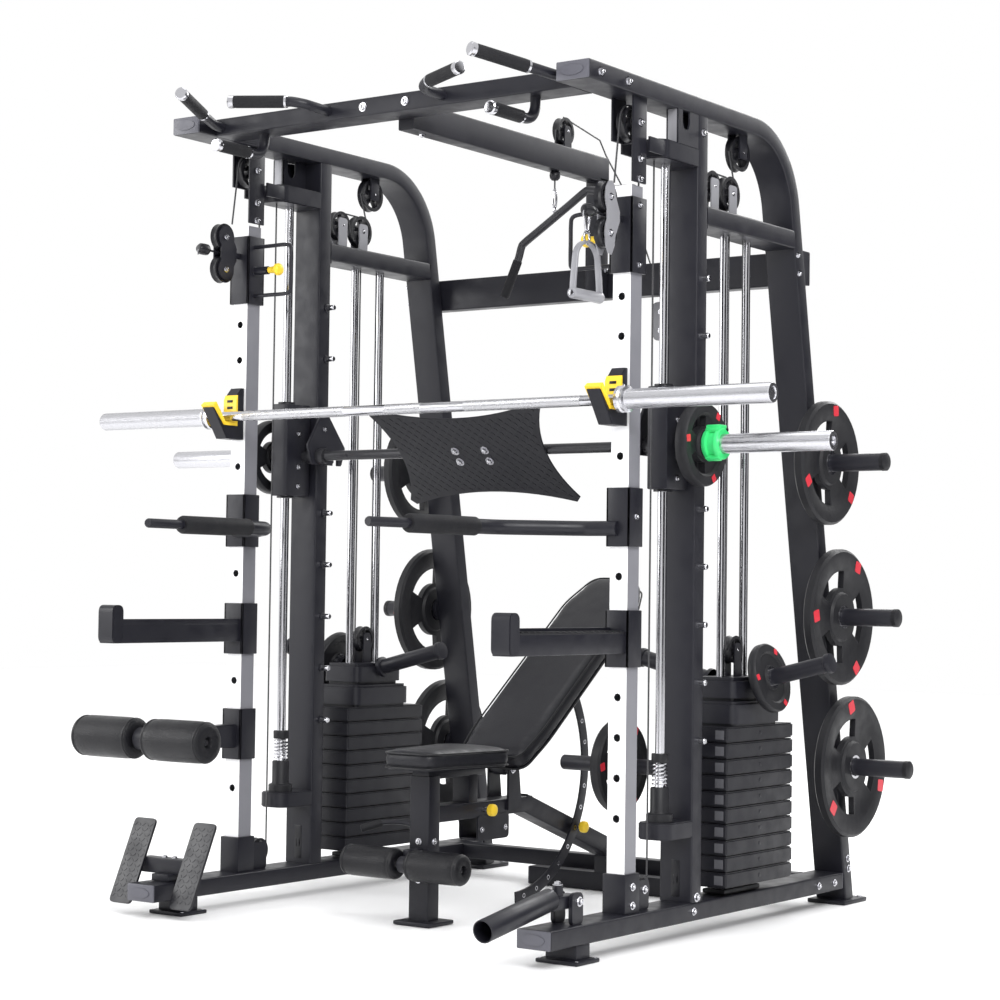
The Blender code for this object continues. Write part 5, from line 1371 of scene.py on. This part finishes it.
def bench():
    kit = Kit("bench_frame_look", STEEL, CHROME, CAP, YELLOW, GRIP)
    kit.sweep([(0, 0.055, 0.010), (0, 0.055, 0.392)], rounded_rectangle(0.032, 0.025, 0.004), (1, 0, 0))
    kit.box((-0.060, 0.000, 0.0008), (0.060, 0.110, 0.012), 0.004)
    kit.sweep([(0, 0.070, 0.290), (0, 0.515, 0.290)], rounded_rectangle(0.030, 0.022, 0.004), (1, 0, 0))
    kit.sweep([(0, 0.485, 0.2932), (0, 0.945, 0.1268)], rounded_rectangle(0.0297, 0.026, 0.004), (1, 0, 0))
    kit.box((-0.032, 0.932, 0.040), (0.032, 0.952, 0.160), 0.003)
    kit.sweep([(-0.264, 0.954, 0.0279), (0.264, 0.954, 0.0279)], rounded_rectangle(0.024, 0.0270, 0.004),
        (0, 1, 0))
    kit.use(2)
    for way in (-1, 1):
        kit.box((way * 0.262, 0.931, 0.001), (way * 0.270, 0.977, 0.0545), 0.004)
    kit.use(0)
    kit.box((-0.028, 0.034, 0.384), (0.028, 0.290, 0.4095), 0.003)
    kit.box((-0.028, 0.215, 0.300), (0.028, 0.255, 0.390), 0.003)
    for way in (-1, 1):
        bracket = panel(0.250, 0.205, 0.400, 0.275, 0.014)
        kit.side_slab(bracket, way * 0.032, way * 0.0275)
        ear = [(0.387, 0.280), (0.387, 0.395), (0.3975, 0.4075), (0.415, 0.4075), (0.440, 0.390),
            (0.455, 0.280)]
        kit.side_slab(ear, way * 0.0370, way * 0.0302)
    kit.box((-0.029, 0.255, 0.205), (0.029, 0.395, 0.212), 0.002)
    kit.box((-0.0125, -0.022, 0.150), (0.0125, 0.032, 0.203), 0.003)
    kit.lathe([(0.0102, -0.0135), (0.020, -0.0135), (0.022, -0.011), (0.022, 0.011), (0.020, 0.0135),
        (0.0102, 0.0135)],
              BENCH_ROLLERS, (1, 0, 0), 32, closed=True)
    kit.use(1)
    for z in (0.120, 0.220):
        kit.bolt((0.032, 0.055, z), (1, 0, 0), 0.007)
        kit.bolt((0, 0.030, z), (0, -1, 0), 0.007)
    for x in (-0.018, 0.018):
        kit.bolt((x, 0.932, 0.135), (0, -1, 0), 0.006)
    kit.bolt((0.0370, PIVOT_Y, PIVOT_Z), (1, 0, 0), 0.008)
    kit.bolt((-0.0370, PIVOT_Y, PIVOT_Z), (-1, 0, 0), 0.008)
    for y, z in ((0.270, 0.235), (0.380, 0.235)):
        kit.bolt((0.032, y, z), (1, 0, 0), 0.006)
    for y, z in ((0.275, 0.290), (0.730, 0.210)):
        kit.use(1).bar((0.028, y, z), (0.052, y, z), 0.008, 20)
        kit.use(3).lathe([(0.008, 0.050), (0.016, 0.056), (0.017, 0.062), (0.016, 0.070), (0.009, 0.075),
            (0, 0.076)],
                              (0, y, z), (1, 0, 0), 28)
    kit.use(0).pipe([(-0.030, 0.045, 0.262), (-0.080, 0.040, 0.266), (-0.120, 0.020, 0.262),
        (-0.150, -0.010, 0.250)], 0.007, 12)
    kit.use(4).bar((-0.118, 0.021, 0.2621), (-0.158, -0.018, 0.247), 0.0105, 20, bevel=0.002)
    kit.done("bench_frame", "bench_frame", slot="black_steel")

    back = Kit("bench_back_look", STEEL, CHROME)
    back.box((-0.0200, 0.015, -0.0300), (0.0200, 0.660, -0.001), 0.003, BACK)
    back.box((0.0190, 0.335, -0.0300), (0.0480, 0.385, -0.0060), 0.002, BACK)
    for y in (0.180, 0.520):
        back.box((-0.085, y, -0.006), (0.085, y + 0.040, -0.0005), 0.001, BACK)
    back.bar((-0.0285, PIVOT_Y, PIVOT_Z), (0.0285, PIVOT_Y, PIVOT_Z), 0.014, 28)
    ladder = [(0.043, *point) for point in arc(PIVOT_Y, PIVOT_Z, LADDER_RADIUS, 37, -125 / 32, 33)]
    back.sweep(ladder, rounded_rectangle(0.003, 0.0165, 0.001), (1, 0, 0))
    for y, z in arc(PIVOT_Y, PIVOT_Z, LADDER_RADIUS, 20, -10.2, 11):
        centre = Vector((0, y, z))
        back.use(1).lathe([(0.0045, 0.0395), (0.0065, 0.0395), (0.0065, 0.0465), (0.0045, 0.0465)], centre,
            (1, 0, 0), 16, closed=True)
    back.done("bench_back", "back_frame", slot="black_steel")

    pad("seat_pad_look", "seat_pad", "seat_pad",
        [(-0.080, -0.035), (0.080, -0.035), (0.125, 0.285), (-0.125, 0.285)],
        0.034, 0.410, 0.461, Matrix.Identity(4), 0.003)
    pad("back_pad_look", "back_pad", "bench_back",
        [(-0.105, 0.0), (0.105, 0.0), (0.120, 0.120), (0.120, 0.700), (0.080, 0.820), (-0.080, 0.820),
        (-0.120, 0.700),
         (-0.120, 0.120)], 0.034, 0.0006, 0.0575, BACK, 0.003)
    rollers("bench_rollers_look", "bench_rollers", "bench_rollers", BENCH_ROLLERS, 0.018, 0.195, 0.0415)


# ---------------------------------------------------------------- cables

def lifting(cable):
    """On the real machine the cable shortens as the stack's head rises; here this only bakes the cable's
    placement into its mesh.
    """
    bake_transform(cable)


def cables():
    for side in (-1, 1):
        x, end = side * SIDE_X, ENDS[side]
        kit = Kit("cable_look_" + end, WIRE)
        front = Kit("carriage_cable_" + end, WIRE)
        low, high = Vector((x, -0.041, 1.905)), Vector((x, -0.0215, 2.045))
        front.pipe([low.lerp(high, i / 8) for i in range(9)], CABLE, 10, smooth=False)
        stretching = front.done(None, slot="black_cable")
        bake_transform(stretching)
        points = [(x, -0.0215, 2.045)]
        points += [(x, *point) for point in arc(0.0275, 2.064, 0.0462, 180, -11.25, 17)]
        points += [(x, 0.0745, 1.2)]
        points += [(x, *point) for point in arc(0.1105, 0.142, 0.0362, 180, 11.25, 17)]
        points.append((x, 0.1467, 1.9895))
        kit.pipe(points, CABLE, 10, smooth=False)
        kit.done("frame", "cable_" + end, slot="black_cable")
        lift = Kit("stack_cable_" + end, WIRE)
        run = [(x, STACK_WHEEL_Y - 0.0385,
            STACK_WHEEL_Z + (1.846 - STACK_WHEEL_Z) * i / 24) for i in range(25)]
        lift.pipe(run, CABLE, 10, smooth=False)
        lifting(lift.done(None, slot="black_cable"))
        made_back = Kit("stack_cable_back_" + end, WIRE)
        made_back.pipe([(x, STACK_WHEEL_Y + 0.0385, p[2]) for p in run], CABLE, 10, smooth=False)
        lifting(made_back.done(None, slot="black_cable"))
        top = Kit("side_cable_" + end, WIRE)
        top.pipe([(x, 0.576 - 0.047, 2.077), (x, 0.526 + 0.045, 1.960)], CABLE, 8, smooth=False)
        top.pipe([(x, 0.429 + 0.010, 2.006), (x, 0.516, 2.004)], CABLE, 8, smooth=False)
        top.done("frame", slot="black_cable")
    lat = Kit("lat_cable", WIRE)
    lat.pipe([(0, 0.634, 2.100), (0, 0.634, 2.222)], CABLE, 8, smooth=False)
    lat.pipe([(0, 0.675, 2.2645), (0, 0.870, 2.230), (0, 0.905, 2.190), (0.06, 0.950, 2.05),
              (0.172, 0.9585, 1.742)], CABLE, 8, smooth=False)
    lat.pipe([(0, 0.634, 2.074), (0, 0.634, 2.046)], CABLE, 8, smooth=False)
    lat.done("frame", slot="black_cable")


# ---------------------------------------------------------------- everything

def front_uprights():
    for end in ENDS.values():
        for slot in bpy.data.objects["front_upright_" + end].material_slots:
            slot.material = UPRIGHT


def build():
    for side in (-1, 1):
        base_beam(side)
        side_frame(side)
        main_upright(side)
        guide_rod(side)
        stacks(side)
        j_hook(side)
        spotter(side)
        dip_handle(side)
        pulley_carriage(side)
        pulley_swivel(side)
        for level, z, radius, turn in (("top", 1.256, 0.174, 0.9), ("middle", 0.824, 0.192, 0.5),
            ("low", 0.398, 0.200, 1.2)):
            name = "storage_plate_%s_%s" % (level, ENDS[side])
            weight_plate(name + "_look", name, name, side, post_y(z), z, radius, 0.703, 0.735, 0.0262, turn)
    weight_plate("inner_plate_look", "inner_plate", "inner_plate", 1, 0.3125, 0.430, 0.123, 0.430, 0.462,
        0.0214, 0.5)
    front_uprights()
    crossbars()
    pull_up_grips()
    smith()
    barbell()
    d_handle()
    lat_bar()
    landmine()
    foot_plate()
    leg_roller_bracket()
    rollers("leg_rollers_look", "leg_rollers", "leg_rollers", LEG_ROLLERS, 0.024, 0.232, 0.056)
    bench()
    cables()


def camera():
    data = bpy.data.cameras.new("view")
    data.sensor_width = 36.0
    data.lens = 82.58
    made = placed("view", data)
    azimuth, tilt, roll = math.radians(35.412), math.radians(2.2355), math.radians(0.7384)
    ahead = Vector((-math.sin(azimuth) * math.cos(tilt), math.cos(azimuth) * math.cos(tilt),
        math.sin(tilt)))
    right = Vector((math.cos(azimuth), math.sin(azimuth), 0))
    up = right.cross(ahead)
    right, up = (
        right * math.cos(roll) + up * math.sin(roll),
        -right * math.sin(roll) + up * math.cos(roll),
    )
    turn = Matrix((right, up, -ahead)).transposed().to_4x4()
    made.matrix_world = Matrix.Translation(Vector((3.7006, -4.8241, 0.8894)) + SHIFT) @ turn
    bpy.context.scene.camera = made


def area_light(name, place, target, size, power):
    data = bpy.data.lights.new(name, "AREA")
    data.shape = "RECTANGLE"
    data.size, data.size_y = size
    data.energy = power
    made = placed(name, data)
    place, target = Vector(place), Vector(target)
    made.matrix_world = Matrix.Translation(place) @ (target - place).to_track_quat("-Z",
        "Y").to_matrix().to_4x4()


def stage_and_light():
    mesh = bpy.data.meshes.new("floor")
    form = bmesh.new()
    bmesh.ops.create_grid(form, x_segments=1, y_segments=1, size=14)
    form.to_mesh(mesh)
    form.free()
    floor = placed("floor", mesh)
    floor.location.z = -0.0005
    mesh.materials.append(coated("studio_floor", (0.94, 0.94, 0.945), (0.96, 0.96, 0.965), 0.60, 0.70))
    world = bpy.data.worlds.new("studio")
    bpy.context.scene.world = world
    world.use_nodes = True
    nodes, links = world.node_tree.nodes, world.node_tree.links
    nodes["Background"].inputs["Strength"].default_value = 1.0
    around = nodes.new("ShaderNodeTexCoord").outputs["Generated"]
    tone = (1.0, 1.0, 1.0)
    # Black flags beside the white surround, so that chrome shows dark edges
    for way in ((-0.58, -0.81, 0.0), (0.58, 0.81, 0.0), (0.95, -0.30, 0.05)):
        dot = nodes.new("ShaderNodeVectorMath")
        dot.operation = "DOT_PRODUCT"
        dot.inputs[1].default_value = way
        links.new(around, dot.inputs[0])
        flag = ramp(nodes, links, dot.outputs["Value"], 0.0, 1.0, 0.84, 0.93)
        tone = mixed(nodes, links, flag, tone, (0.03, 0.03, 0.035))
    links.new(tone, nodes["Background"].inputs["Color"])
    area_light("key", (4.5, -3.5, 4.5), (0, 0, 1), (3.0, 3.0), 330)
    area_light("fill", (-4.5, -4.0, 2.5), (0, 0, 1), (3.0, 3.0), 150)
    area_light("back", (0.5, 5.0, 4.0), (0, 0, 1), (4.0, 2.0), 160)
    sun = bpy.data.lights.new("overhead", "SUN")
    sun.energy, sun.angle = 0.7, 0.8
    placed("overhead", sun)
    bpy.context.scene.view_settings.view_transform = "Standard"


camera()
build()
stage_and_light()
